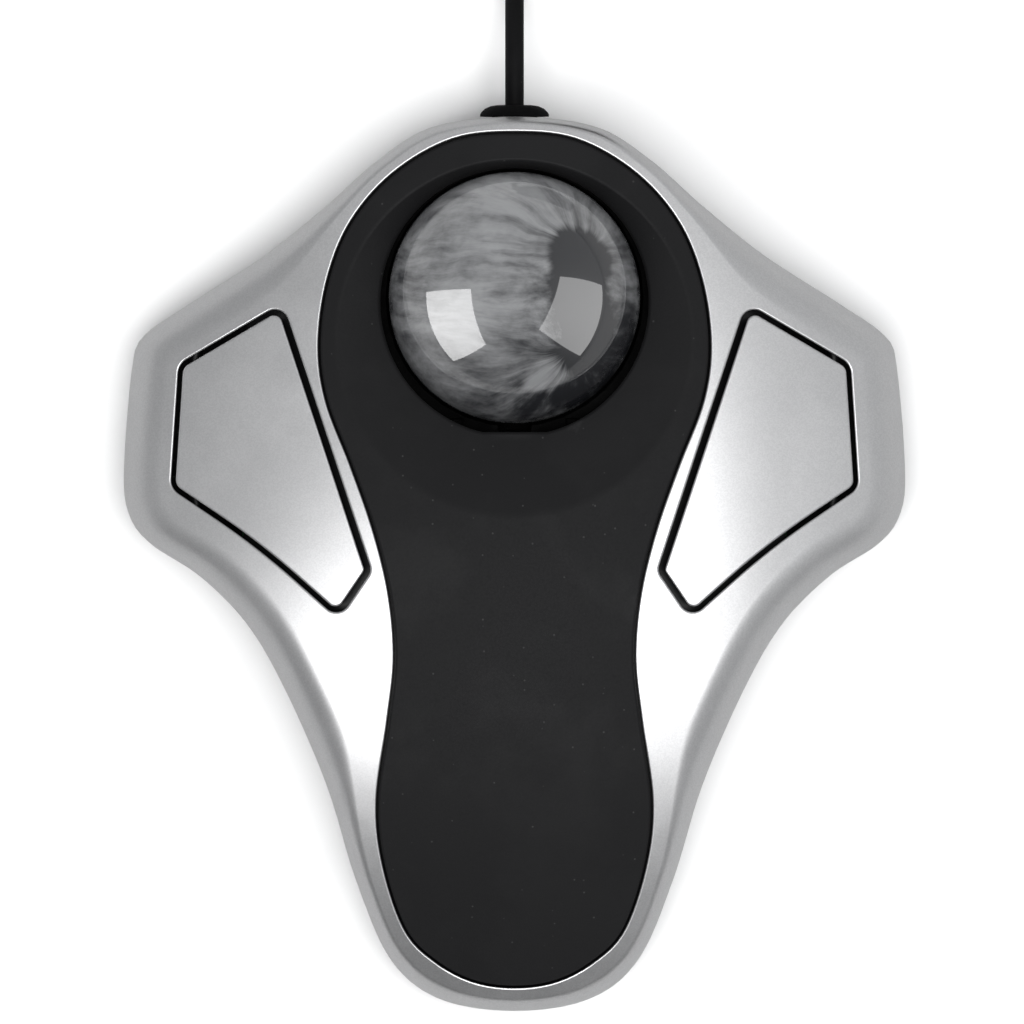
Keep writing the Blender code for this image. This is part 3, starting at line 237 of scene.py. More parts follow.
def soft_light(name, place, size, radiance, turn=0.0, only=None, flagged=None, gives="all"):
    """A rectangular soft light that faces the object, as bright as its radiance says. It can
    light only one piece, or be flagged off from one, and give gloss or even light alone."""
    data = bpy.data.lights.new(name, "AREA")
    data.shape = "RECTANGLE"
    data.size, data.size_y = size
    data.energy = radiance * math.pi * size[0] * size[1]
    light = bpy.data.objects.new(name, data)
    light.location = place
    aim = (LIGHTS_AIM - Vector(place)).to_track_quat("-Z", "Y")
    light.rotation_euler = (Matrix.Rotation(turn, 4, "Z") @ aim.to_matrix().to_4x4()).to_euler()
    light.visible_camera = False
    light.visible_diffuse = gives != "gloss"
    light.visible_glossy = gives != "even"
    if only or flagged:
        chosen = bpy.data.collections.new(name)
        chosen.objects.link(only or flagged)
        light.light_linking.receiver_collection = chosen
        if flagged:
            chosen.collection_objects[0].light_linking.link_state = "EXCLUDE"
    bpy.context.scene.collection.objects.link(light)


# Shader nodes

MM_IN_METRE = 1000.0


def add(tree, kind, settings=None, **inputs):
    """A shader node with its settings; an input is a value or another node's output."""
    made = tree.nodes.new("ShaderNode" + kind)
    for key, value in (settings or {}).items():
        setattr(made, key, value)
    for key, value in inputs.items():
        plug_in(tree, value, made.inputs[key.replace("_", " ")])
    return made


def plug_in(tree, value, socket):
    if isinstance(value, bpy.types.NodeSocket):
        tree.links.new(value, socket)
    else:
        socket.default_value = value


def maths(tree, operation, first, second=0.0, clamp=False):
    made = tree.nodes.new("ShaderNodeMath")
    made.operation = operation
    made.use_clamp = clamp
    plug_in(tree, first, made.inputs[0])
    plug_in(tree, second, made.inputs[1])
    return made.outputs[0]


def times(tree, first, second):
    return maths(tree, "MULTIPLY", first, second)


def plus(tree, first, second):
    return maths(tree, "ADD", first, second)


def vector(tree, operation, first, second=None):
    """A vector step; a distance or a dot product comes out as a number."""
    made = add(tree, "VectorMath", {"operation": operation})
    plug_in(tree, first, made.inputs[0])
    if second is not None:
        plug_in(tree, second, made.inputs["Scale"] if operation == "SCALE" else made.inputs[1])
    number = operation in ("DOT_PRODUCT", "DISTANCE")
    return made.outputs["Value"] if number else made.outputs["Vector"]


def place_on(tree):
    """Where a point is on its own piece."""
    return add(tree, "TexCoord").outputs["Object"]


def noise(tree, place, scale, detail, **more):
    """Cloudy noise, from 0 to 1."""
    return add(tree, "TexNoise", Vector=place, Scale=scale, Detail=detail, **more).outputs["Fac"]


def grey(tone):
    return (tone, tone, tone, 1)


def ramp(tree, value, low, high, to_low=0.0, to_high=1.0, smooth=True):
    """Maps a value from one range to another, held at both ends."""
    made = add(tree, "MapRange", {"interpolation_type": "SMOOTHSTEP" if smooth else "LINEAR"})
    for key, number in zip(("Value", "From Min", "From Max", "To Min", "To Max"),
                           (value, low, high, to_low, to_high)):
        plug_in(tree, number, made.inputs[key])
    return made.outputs["Result"]


def blend_colour(tree, share, first, second, kind="MIX"):
    made = tree.nodes.new("ShaderNodeMix")
    made.data_type = "RGBA"
    made.blend_type = kind
    colours = [s for s in made.inputs if s.type == "RGBA"]
    plug_in(tree, share, made.inputs[0])
    plug_in(tree, first, colours[0])
    plug_in(tree, second, colours[1])
    return [s for s in made.outputs if s.type == "RGBA"][0]


def new_group(name, inputs, outputs):
    """An empty node group with named sockets, and its input and output nodes."""
    tree = bpy.data.node_groups.new(name, "ShaderNodeTree")
    for label, default in inputs:
        kind = "NodeSocketColor" if isinstance(default, tuple) else "NodeSocketFloat"
        socket = tree.interface.new_socket(label, in_out="INPUT", socket_type=kind)
        socket.default_value = default
    for label in outputs:
        tree.interface.new_socket(label, in_out="OUTPUT", socket_type="NodeSocketFloat")
    return tree, tree.nodes.new("NodeGroupInput"), tree.nodes.new("NodeGroupOutput")


def use(tree, group, **inputs):
    """Places a shared effect in a material, with its own values."""
    made = tree.nodes.new("ShaderNodeGroup")
    made.node_tree = group
    for key, value in inputs.items():
        plug_in(tree, value, made.inputs[key.replace("_", " ")])
    return made


def mask(tree, group, **inputs):
    """The mask of a shared effect."""
    return use(tree, group, **inputs).outputs["Mask"]


def height_and_roughness(tree, height, share, out):
    """Sends out a height, and a share of its rise and fall as the change of roughness."""
    tree.links.new(height, out.inputs["Height"])
    change = times(tree, maths(tree, "SUBTRACT", height, 0.5), share)
    tree.links.new(change, out.inputs["Roughness"])


def grain_group():
    """Fine moulded grain: a height and a matching change of roughness. Size is in millimetres."""
    tree, given, out = new_group("moulded grain", [("Size", 0.4), ("Depth", 1.0)],
                                 ["Height", "Roughness"])
    place = place_on(tree)
    scale = maths(tree, "DIVIDE", MM_IN_METRE, given.outputs["Size"])
    cells = add(tree, "TexVoronoi", {"feature": "SMOOTH_F1"}, Vector=place, Scale=scale,
                Smoothness=0.6)
    fine = noise(tree, place, times(tree, scale, 1.9), 3.0)
    both = plus(tree, cells.outputs["Distance"], times(tree, fine, 0.5))
    height_and_roughness(tree, times(tree, both, given.outputs["Depth"]), 0.12, out)
    return tree


def handling_group():
    """Smudges that hands leave: broad soft patches with a finer broken edge."""
    tree, given, out = new_group("handling marks", [("Size", 25.0), ("Amount", 0.5)], ["Mask"])
    place = place_on(tree)
    scale = maths(tree, "DIVIDE", MM_IN_METRE, given.outputs["Size"])
    broad = noise(tree, place, scale, 2.0, Distortion=0.6)
    fine = noise(tree, place, times(tree, scale, 7.0), 4.0)
    patches = ramp(tree, plus(tree, broad, times(tree, fine, 0.25)), 0.55, 0.80)
    tree.links.new(times(tree, patches, given.outputs["Amount"]), out.inputs["Mask"])
    return tree


def wear_group():
    """Rubbed convex edges, broken up by noise."""
    tree, given, out = new_group("edge wear", [("Start", 0.52), ("End", 0.60), ("Amount", 0.5)],
                                 ["Mask"])
    point = add(tree, "NewGeometry").outputs["Pointiness"]
    edge = ramp(tree, point, given.outputs["Start"], given.outputs["End"])
    worn = ramp(tree, noise(tree, place_on(tree), 900.0, 3.0), 0.35, 0.65, 0.35, 1.0)
    broken = times(tree, edge, worn)
    tree.links.new(times(tree, broken, given.outputs["Amount"]), out.inputs["Mask"])
    return tree


def dust_group():
    """Sparse dust specks on faces that look up."""
    tree, given, out = new_group("dust specks", [("Size", 1.2), ("Amount", 0.3)], ["Mask"])
    facing = add(tree, "SeparateXYZ", Vector=add(tree, "NewGeometry").outputs["Normal"])
    specks = add(tree, "TexVoronoi", Vector=place_on(tree),
                 Scale=maths(tree, "DIVIDE", MM_IN_METRE, given.outputs["Size"]), Randomness=1.0)
    spot = ramp(tree, specks.outputs["Distance"], 0.05, 0.14, 1.0, 0.0)
    rare = add(tree, "SeparateColor", Color=specks.outputs["Color"])
    spot = times(tree, spot, ramp(tree, rare.outputs["Red"], 0.72, 0.80))
    up = ramp(tree, facing.outputs["Z"], 0.3, 0.8)
    tree.links.new(times(tree, times(tree, spot, up), given.outputs["Amount"]), out.inputs["Mask"])
    return tree


def brushed_group():
    """Fine lines along one direction, as brushed or drawn metal has."""
    tree, given, out = new_group("drawn lines", [("Fine", 3000.0), ("Along", 60.0), ("Depth", 1.0)],
                                 ["Height", "Roughness"])
    stretch = add(tree, "CombineXYZ", X=given.outputs["Along"], Y=given.outputs["Fine"],
                  Z=given.outputs["Fine"])
    lines = noise(tree, vector(tree, "MULTIPLY", place_on(tree), stretch.outputs[0]), 1.0, 4.0)
    height_and_roughness(tree, times(tree, lines, given.outputs["Depth"]), 0.25, out)
    return tree


GRAIN = grain_group()
HANDLING = handling_group()
WEAR = wear_group()
DUST = dust_group()
DRAWN = brushed_group()


def material(name):
    """A new material and its Principled shader."""
    made = bpy.data.materials.new(name)
    made.use_nodes = True
    return made, made.node_tree, made.node_tree.nodes["Principled BSDF"]


def constant(shader, **values):
    for key, value in values.items():
        shader.inputs[key.replace("_", " ")].default_value = value


def set_colour(tree, shader, colour):
    tree.links.new(colour, shader.inputs["Base Color"])


def bump(tree, shader, height, strength, distance):
    made = add(tree, "Bump", Height=height, Strength=strength, Distance=distance)
    tree.links.new(made.outputs["Normal"], shader.inputs["Normal"])


def roughness(tree, shader, base, *changes):
    """Base roughness plus each change, kept between mirror and chalk."""
    total = base
    for change in changes:
        total = plus(tree, total, change)
    tree.links.new(ramp(tree, total, 0.02, 0.98, 0.02, 0.98, smooth=False),
                   shader.inputs["Roughness"])


# Finishes

def floor_material():
    """Pale paper, which returns less light to the object than the eye sees."""
    made, tree, shader = material("studio floor")
    place = place_on(tree)
    cloud = noise(tree, place, 3.0, 3.0)
    colour = blend_colour(tree, cloud, grey(0.93), grey(0.95))
    direct = add(tree, "LightPath").outputs["Is Camera Ray"]
    colour = blend_colour(tree, direct, grey(0.42), colour)
    set_colour(tree, shader, colour)
    bump(tree, shader, noise(tree, place, 1500.0, 2.0), 0.05, 0.0002)
    roughness(tree, shader, 0.85, times(tree, cloud, 0.05))
    constant(shader, Specular_IOR_Level=0.2)
    return made


def silver_paint(name, tone):
    """Satin metallic paint: fine flakes under a thin lacquer, rubbed a little at its edges.
    The attribute paint says where the dark moulding under it is bare."""
    made, tree, shader = material(name)
    place = place_on(tree)
    painted = ramp(tree, add(tree, "Attribute", {"attribute_name": "paint"}).outputs["Fac"],
                   0.45, 0.75)
    flakes = add(tree, "TexVoronoi", Vector=place, Scale=5200.0, Randomness=1.0)
    sparkle = add(tree, "SeparateColor", Color=flakes.outputs["Color"])
    cloud = noise(tree, place, 90.0, 4.0)
    light, dark = (tone * 1.05,) * 2 + (tone * 1.06, 1), (tone * 0.95,) * 2 + (tone * 0.96, 1)
    colour = blend_colour(tree, ramp(tree, sparkle.outputs["Red"], 0.0, 1.0), dark, light)
    colour = blend_colour(tree, ramp(tree, cloud, 0.3, 0.7, 0.0, 0.10),
                          colour, (tone * 0.8, tone * 0.8, tone * 0.82, 1))
    wear = mask(tree, WEAR, Start=0.54, End=0.66, Amount=0.35)
    colour = blend_colour(tree, wear, colour, (0.78, 0.78, 0.79, 1))
    dust = mask(tree, DUST, Size=2.2, Amount=0.18)
    colour = blend_colour(tree, dust, colour, (0.75, 0.74, 0.72, 1))
    colour = blend_colour(tree, painted, (0.008, 0.008, 0.009, 1), colour)
    set_colour(tree, shader, colour)
    tree.links.new(times(tree, painted, 0.95), shader.inputs["Metallic"])
    smudge = mask(tree, HANDLING, Size=28.0, Amount=0.05)
    roughness(tree, shader, 0.30, smudge, times(tree, sparkle.outputs["Green"], 0.04),
              times(tree, wear, 0.1))
    height = plus(tree, sparkle.outputs["Blue"], times(tree, cloud, 0.4))
    bump(tree, shader, height, 0.06, 0.00004)
    constant(shader, Specular_IOR_Level=0.3, Coat_Weight=0.08, Coat_Roughness=0.2)
    return made


def soft_black():
    """Soft-feel black coat with a very fine grain, rubbed smoother where the palm rests."""
    made, tree, shader = material("soft black")
    grain = use(tree, GRAIN, Size=0.35, Depth=1.0)
    smudge = mask(tree, HANDLING, Size=22.0, Amount=1.0)
    colour = blend_colour(tree, smudge, (0.0112, 0.0112, 0.0120, 1), (0.0132, 0.0132, 0.0140, 1))
    wear = mask(tree, WEAR, Start=0.53, End=0.62, Amount=0.4)
    colour = blend_colour(tree, wear, colour, (0.035, 0.035, 0.036, 1))
    dust = mask(tree, DUST, Size=1.6, Amount=0.35)
    colour = blend_colour(tree, dust, colour, grey(0.10))
    set_colour(tree, shader, colour)
    roughness(tree, shader, 0.56, grain.outputs["Roughness"], times(tree, smudge, -0.06))
    bump(tree, shader, grain.outputs["Height"], 0.22, 0.00005)
    constant(shader, Specular_IOR_Level=0.14, Sheen_Weight=0.02, Sheen_Roughness=0.5)
    return made


def moulded_plastic(name, colour, rough, size=0.5, depth=1.0, level=0.4, dusty=0.2):
    """Plain moulded plastic with spark-eroded grain, rubbed edges and a little dust."""
    made, tree, shader = material(name)
    grain = use(tree, GRAIN, Size=size, Depth=depth)
    smudge = mask(tree, HANDLING, Size=18.0, Amount=1.0)
    light = tuple(min(1, c * 1.25 + 0.004) for c in colour) + (1,)
    base = blend_colour(tree, smudge, (*colour, 1), light)
    wear = mask(tree, WEAR, Start=0.53, End=0.64, Amount=0.35)
    base = blend_colour(tree, wear, base, tuple(min(1, c * 1.6 + 0.02) for c in colour) + (1,))
    dust = mask(tree, DUST, Size=1.4, Amount=dusty)
    base = blend_colour(tree, dust, base, (0.35, 0.34, 0.32, 1))
    set_colour(tree, shader, base)
    roughness(tree, shader, rough, grain.outputs["Roughness"], times(tree, smudge, 0.05))
    bump(tree, shader, grain.outputs["Height"], 0.35, 0.00006)
    constant(shader, Specular_IOR_Level=level)
    return made


# The seam that the streaks fan out from, and dark and light patches fixed on the ball: direction, where
# each is full and where it is gone in degrees, and what it adds to the tone. The broad light patch on
# the left, on the side towards the left soft box, is painted light.
SEAM_START = Vector((0.50, 0.36, 0.79)).normalized()
SEAM_END = Vector((0.42, -0.42, 0.80)).normalized()
BALL_PATCHES_AND_PAINTED_LIGHT = (((0.51, 0.33, 0.79), 7, 19, -0.46), ((0.48, 0.02, 0.86), 4, 20, -0.36),
                ((0.53, -0.30, 0.79), 4, 22, -0.28), ((0.72, -0.52, 0.46), 10, 36, -0.28),
                ((0.20, -0.88, 0.42), 6, 24, -0.16), ((-0.55, -0.05, 0.83), 10, 50, 0.12),
                ((0.27, -0.62, 0.73), 2, 14, 0.24), ((-0.1, 0.80, 0.58), 8, 40, 0.10))


def pearl_resin(start, end):
    """Polished resin ball: pearly streaks that fan out from a dark seam, with painted light on its left
    side, under a clear gloss.
    """
    made, tree, shader = material("pearl resin")
    place = place_on(tree)
    unit = vector(tree, "NORMALIZE", place)
    warp = add(tree, "TexNoise", Vector=unit, Scale=1.6, Detail=2.0).outputs["Color"]
    drift = vector(tree, "SCALE", vector(tree, "SUBTRACT", warp, (0.5, 0.5, 0.5)), 0.22)
    bent = vector(tree, "NORMALIZE", vector(tree, "ADD", unit, drift))
    line = end - start
    along = vector(tree, "DOT_PRODUCT", vector(tree, "SUBTRACT", bent, tuple(start)), tuple(line))
    share = maths(tree, "DIVIDE", along, line.length_squared, clamp=True)
    foot = vector(tree, "ADD", tuple(start), vector(tree, "SCALE", tuple(line), share))
    around = vector(tree, "NORMALIZE", vector(tree, "SUBTRACT", bent, foot))
    far = times(tree, vector(tree, "DISTANCE", bent, foot), 1.3)
    fan = vector(tree, "ADD", vector(tree, "SCALE", around, 5.5),
                 vector(tree, "ADD", vector(tree, "SCALE", tuple(line), times(tree, share, 11.0)),
                        vector(tree, "SCALE", tuple(start), far)))
    streak = noise(tree, fan, 1.0, 7.0, Roughness=0.62)
    tone = plus(tree, times(tree, streak, 0.66), times(tree, noise(tree, fan, 0.28, 2.0), 0.22))
    tone = plus(tree, tone, times(tree, noise(tree, unit, 14.0, 4.0), 0.14))
    cloud = maths(tree, "SUBTRACT", noise(tree, unit, 1.1, 3.0), 0.5)
    tone = plus(tree, tone, times(tree, cloud, 0.5))
    # Each patch darkens or lightens the tone; the broad light one on the left is painted light, towards
    # the left soft box
    for patch, inner, outer, amount in BALL_PATCHES_AND_PAINTED_LIGHT:
        near = ramp(tree, vector(tree, "DOT_PRODUCT", bent, tuple(Vector(patch).normalized())),
                    math.cos(math.radians(outer)), math.cos(math.radians(inner)), 0.0, amount)
        tone = plus(tree, tone, near)
    tone = ramp(tree, tone, 0.28, 0.78)
    colour = blend_colour(tree, tone, (0.012, 0.013, 0.017, 1), (0.40, 0.405, 0.415, 1))
    set_colour(tree, shader, colour)
    scratch = mask(tree, HANDLING, Size=9.0, Amount=0.06)
    roughness(tree, shader, 0.45, scratch, times(tree, tone, -0.10))
    fine = noise(tree, place, 2500.0, 2.0)
    bump(tree, shader, plus(tree, times(tree, streak, 0.6), times(tree, fine, 0.05)), 0.12, 0.0002)
    constant(shader, Specular_IOR_Level=0.2, Coat_Weight=1.0, Coat_Roughness=0.03, Coat_IOR=1.75)
    return made


def metal(name, tone, rough, along=60.0, fine=3000.0, depth=1.0):
    """Plated steel with drawn lines, a few dull patches and rubbed edges."""
    made, tree, shader = material(name)
    lines = use(tree, DRAWN, Fine=fine, Along=along, Depth=depth)
    dull = mask(tree, HANDLING, Size=6.0, Amount=0.4)
    wear = mask(tree, WEAR, Start=0.53, End=0.62, Amount=0.5)
    colour = blend_colour(tree, dull, (tone, tone, tone * 1.01, 1),
                          (tone * 0.78, tone * 0.78, tone * 0.76, 1))
    colour = blend_colour(tree, wear, colour, grey(0.86))
    set_colour(tree, shader, colour)
    roughness(tree, shader, rough, lines.outputs["Roughness"], times(tree, dull, 0.12))
    bump(tree, shader, lines.outputs["Height"], 0.12, 0.00003)
    constant(shader, Metallic=1.0)
    return made


def clear_plastic():
    """Clear optic with faint finger marks."""
    made, tree, shader = material("clear optic")
    marks = mask(tree, HANDLING, Size=5.0, Amount=0.12)
    grain = use(tree, GRAIN, Size=0.6, Depth=0.3)
    roughness(tree, shader, 0.05, marks)
    bump(tree, shader, grain.outputs["Height"], 0.02, 0.00002)
    tint = blend_colour(tree, marks, (0.93, 0.95, 0.97, 1), (0.80, 0.82, 0.84, 1))
    set_colour(tree, shader, tint)
    constant(shader, Transmission_Weight=1.0, IOR=1.49, Metallic=0.0)
    return made


def solder_mask():
    """Green board: lighter tracks under the mask, tinned pads and small holes."""
    made, tree, shader = material("solder mask")
    place = place_on(tree)
    cells = add(tree, "TexVoronoi", {"feature": "DISTANCE_TO_EDGE"}, Vector=place, Scale=420.0,
                Randomness=0.25)
    tracks = ramp(tree, cells.outputs["Distance"], 0.04, 0.07, 1.0, 0.0)
    dots = add(tree, "TexVoronoi", Vector=place, Scale=300.0, Randomness=0.2)
    pads = ramp(tree, dots.outputs["Distance"], 0.12, 0.15, 1.0, 0.0)
    colour = blend_colour(tree, tracks, (0.008, 0.075, 0.028, 1), (0.02, 0.16, 0.06, 1))
    colour = blend_colour(tree, pads, colour, (0.62, 0.60, 0.55, 1))
    dull = mask(tree, HANDLING, Size=9.0, Amount=0.25)
    colour = blend_colour(tree, dull, colour, (0.05, 0.12, 0.06, 1))
    set_colour(tree, shader, colour)
    tree.links.new(times(tree, pads, 0.9), shader.inputs["Metallic"])
    roughness(tree, shader, 0.38, times(tree, dull, 0.3))
    bump(tree, shader, plus(tree, tracks, pads), 0.3, 0.00004)
    return made


def foil_label():
    """Blank foil label with a printed border and brushed lines."""
    made, tree, shader = material("foil label")
    lines = use(tree, DRAWN, Fine=2600.0, Along=40.0, Depth=1.0)
    smudge = mask(tree, HANDLING, Size=8.0, Amount=1.0)
    low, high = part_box("base_label")
    middle, half = (low + high) / 2, (high - low) / 2
    place = add(tree, "SeparateXYZ", Vector=place_on(tree))
    edges = []
    for axis, centre, reach in (("X", middle.x, half.x), ("Y", middle.y, half.y)):
        away_from = maths(tree, "ABSOLUTE", maths(tree, "SUBTRACT", place.outputs[axis], centre))
        edges.append(maths(tree, "SUBTRACT", away_from, reach - LABEL_BORDER))
    nearest = maths(tree, "ABSOLUTE", maths(tree, "MAXIMUM", edges[0], edges[1]))
    line = ramp(tree, nearest, 0.00012, 0.00020, 1.0, 0.0)
    colour = blend_colour(tree, smudge, (0.50, 0.50, 0.51, 1), grey(0.42))
    colour = blend_colour(tree, line, colour, grey(0.05))
    set_colour(tree, shader, colour)
    roughness(tree, shader, 0.42, lines.outputs["Roughness"], times(tree, smudge, 0.1))
    bump(tree, shader, lines.outputs["Height"], 0.1, 0.00003)
    constant(shader, Metallic=0.6)
    return made


FINISH = {
    "silver_paint": silver_paint("silver paint", 0.66),
    "button_silver": silver_paint("button silver", 0.68),
    "soft_black": soft_black(),
    "base_black": moulded_plastic("base black", (0.022, 0.022, 0.024), 0.55, 0.7, 1.0, 0.3),
    "ball_pearl": pearl_resin(SEAM_START, SEAM_END),
    "dark_plastic": moulded_plastic("dark plastic", (0.002, 0.002, 0.002), 0.7, 0.5, 0.7, 0.05, 0.05),
    "bearing_steel": metal("bearing steel", 0.70, 0.10, depth=0.3),
    "clear_plastic": clear_plastic(),
    "chip_black": moulded_plastic("chip black", (0.02, 0.02, 0.021), 0.6, 0.25, 0.8, 0.35),
    "led_red": moulded_plastic("led red", (0.45, 0.02, 0.02), 0.18, 0.8, 0.3, 0.5, 0.05),
    "board_green": solder_mask(),
    "screw_steel": metal("screw steel", 0.55, 0.32),
    "cream_plastic": moulded_plastic("cream nylon", (0.66, 0.62, 0.52), 0.42, 0.6, 0.6, 0.45),
    "cord_black": moulded_plastic("cord black", (0.0025, 0.0025, 0.003), 0.55, 0.45, 0.5, 0.10, 0.1),
    "rubber_black": moulded_plastic("rubber black", (0.0035, 0.0035, 0.004), 0.7, 0.4, 1.2, 0.1, 0.2),
    "label_grey": foil_label(),
    "plug_black": moulded_plastic("plug black", (0.018, 0.018, 0.019), 0.5, 0.35, 1.0, 0.35),
    "plug_steel": metal("plug steel", 0.66, 0.24, along=80.0, fine=2400.0, depth=0.5),
}


# Building pieces

def piece(name, mesh, body, slot, *nodes, at=(0, 0, 0)):
    """A finished piece: its finish, the body that it rides on and the frame's nodes it stands for."""
    obj = bpy.data.objects.new(name, mesh)
    obj.location = at
    bpy.context.scene.collection.objects.link(obj)
    mesh.materials.append(FINISH[slot])
    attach(obj, body)
    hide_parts(*nodes)
    return obj


def painted_bmesh():
    """A bmesh whose vertices can be marked as painted; unmarked ones stay bare."""
    bm = bmesh.new()
    return bm, bm.verts.layers.float.new("paint")


def paint(layer, *rings):
    for ring in rings:
        for vert in ring:
            vert[layer] = 1.0


def to_mesh(name, bm, angle=35):
    """A smooth mesh, sharp where its faces meet at more than the angle in degrees."""
    bmesh.ops.recalc_face_normals(bm, faces=bm.faces)
    mesh = bpy.data.meshes.new(name)
    bm.to_mesh(mesh)
    bm.free()
    mesh.shade_smooth()
    mesh.set_sharp_from_angle(angle=math.radians(angle))
    return mesh


def rod(bm, radius, start, end, sides=32):
    """A round bar between two points."""
    start, end = Vector(start), Vector(end)
    turn = (end - start).to_track_quat("Z", "Y").to_matrix().to_4x4()
    bmesh.ops.create_cone(bm, cap_ends=True, segments=sides, radius1=radius, radius2=radius,
                          depth=(end - start).length,
                          matrix=Matrix.Translation((start + end) / 2) @ turn)


def block(bm, size, centre, bevel=0.0003):
    """A box with broken edges."""
    made = bmesh.ops.create_cube(bm, size=1, matrix=Matrix.Translation(centre)
                                 @ Matrix.Diagonal((*size, 1)))
    edges = list({e for v in made["verts"] for e in v.link_edges})
    bmesh.ops.bevel(bm, geom=edges, offset=bevel, segments=2, affect="EDGES")


def chain(bm, rings, close_start=False, close_end=False):
    """Joins rings of vertices that have the same count; an end can be closed with a face."""
    for upper, lower in zip(rings, rings[1:]):
        for i in range(len(upper)):
            j = (i + 1) % len(upper)
            bm.faces.new((upper[i], upper[j], lower[j], lower[i]))
    if close_start:
        bm.faces.new(rings[0])
    if close_end:
        bm.faces.new(rings[-1])


def ring_of(bm, points):
    return [bm.verts.new(p) for p in points]


def turned(bm, profile, matrix, steps):
    """A closed profile of (radius, height), turned about its own Z axis into a ring."""
    angles = [2 * math.pi * k / steps for k in range(steps)]
    rings = []
    for radius, height in profile:
        rings.append(ring_of(bm, [matrix @ Vector((radius * math.cos(a), radius * math.sin(a), height))
                                  for a in angles]))
    chain(bm, rings + rings[:1])


def slab(bm, loop, low, high, edge=0.0003, steps=3):
    """A flat pad whose upper and lower edges are rounded."""
    angles = [math.pi / 2 * k / steps for k in range(steps + 1)]
    rings = []
    for a in angles:
        rings.append((offset(loop, -edge * (1 - math.sin(a))), high - edge * (1 - math.cos(a))))
    for a in reversed(angles):
        rings.append((offset(loop, -edge * (1 - math.sin(a))), low + edge * (1 - math.cos(a))))
    chain(bm, [ring_of(bm, lift(p, z)) for p, z in rings], True, True)


# Outlines, as in the frame but finer

def spread(points, count):
    """Evenly spaced points along a smooth curve through the given ones."""
    given = np.array(points, dtype=float)
    line = np.vstack([2 * given[0] - given[1], given, 2 * given[-1] - given[-2]])
    fine = []
    for a, b, c, d in zip(line, line[1:], line[2:], line[3:]):
        for t in np.linspace(0, 1, SPAN_STEPS, endpoint=False):
            fine.append(0.5 * (2 * b + (c - a) * t + (2 * a - 5 * b + 4 * c - d) * t * t
                               + (3 * b - a - 3 * c + d) * t ** 3))
    fine = np.array(fine + [given[-1]])
    along = np.concatenate([[0], np.cumsum(np.linalg.norm(np.diff(fine, axis=0), axis=1))])
    wanted = np.linspace(0, along[-1], count + 1)
    return np.stack([np.interp(wanted, along, fine[:, k]) for k in range(fine.shape[1])], axis=1)


def at(share):
    """A place given in half widths and half lengths of the housing, in metres."""
    return (share[0] * HALF_W, share[1] * HALF_L)


def full_outline(half, count, fine_count=2000, keep_every=10):
    """A closed loop, the same on both sides, with 2 * count points."""
    right = [at(p) for p in half]
    mirrored = [(-x, y) for x, y in right]
    loop = mirrored[1:2] + right + mirrored[-2:-1]
    fine = spread(loop, fine_count)
    first = int(np.argmin(np.hypot(*(fine - right[0]).T)))
    last = int(np.argmin(np.hypot(*(fine - right[-1]).T)))
    side = spread(fine[first:last + 1:keep_every], count)
    side[0, 0] = side[-1, 0] = 0
    return np.vstack([side, side[-2:0:-1] * (-1, 1)])


def smoothed(values, passes):
    """Values round a closed loop, each averaged with its neighbours."""
    for _ in range(passes):
        values = (np.roll(values, -1, axis=0) + 2 * values + np.roll(values, 1, axis=0)) / 4
    return values


def offset(loop, distance, passes=0):
    """The closed loop grown by a distance, or shrunk when it is negative."""
    ahead, behind = np.roll(loop, -1, axis=0), np.roll(loop, 1, axis=0)
    run = ahead - behind
    area = np.sum(loop[:, 0] * ahead[:, 1] - ahead[:, 0] * loop[:, 1])
    outward = np.stack([run[:, 1], -run[:, 0]], axis=1) * np.sign(area)
    outward /= np.linalg.norm(outward, axis=1, keepdims=True)
    if passes:
        outward = smoothed(outward, passes)
        outward /= np.linalg.norm(outward, axis=1, keepdims=True)
    return loop + outward * distance


def rounded(corners, steps):
    """A closed loop through corners, each with its own radius."""
    loop = []
    count = len(corners)
    for i, (corner, radius) in enumerate(corners):
        here = Vector(corner)
        back = (Vector(corners[i - 1][0]) - here).normalized()
        ahead = (Vector(corners[(i + 1) % count][0]) - here).normalized()
        half = back.angle(ahead) / 2
        reach = radius / math.tan(half)
        middle = here + (back + ahead).normalized() * (radius / math.sin(half))
        first, last = here + back * reach - middle, here + ahead * reach - middle
        for k in range(steps + 1):
            direction = first.lerp(last, k / steps).normalized()
            loop.append(tuple(middle + direction * radius))
    return np.array(loop)


def divide(loop, step):
    """The loop with points added on its long straight runs."""
    out = []
    for a, b in zip(loop, np.roll(loop, -1, axis=0)):
        parts = max(1, int(math.ceil(np.linalg.norm(b - a) / step)))
        out += [a + (b - a) * k / parts for k in range(parts)]
    return np.array(out)


def circle(centre, radius, count):
    angles = (np.arange(count) + 0.5) * 2 * math.pi / count
    return np.stack([centre[0] + radius * np.cos(angles),
                     centre[1] + radius * np.sin(angles)], axis=1)


def mirror(loop):
    return loop * (-1, 1)


def dome(xy):
    """Height of the housing's surface, before its rim is rounded."""
    x, y = xy[:, 0], xy[:, 1]
    behind = np.clip((y - CROWN_Y) / (HALF_L - CROWN_Y), 0, None)
    ahead = np.clip((CROWN_Y - y) / (HALF_L + CROWN_Y), 0, None)
    line = CROWN_HEIGHT - REAR_DROP * behind ** 2 - FRONT_DROP * ahead ** FRONT_CURVE
    return line - SIDE_DROP * (x / HALF_W) ** 2


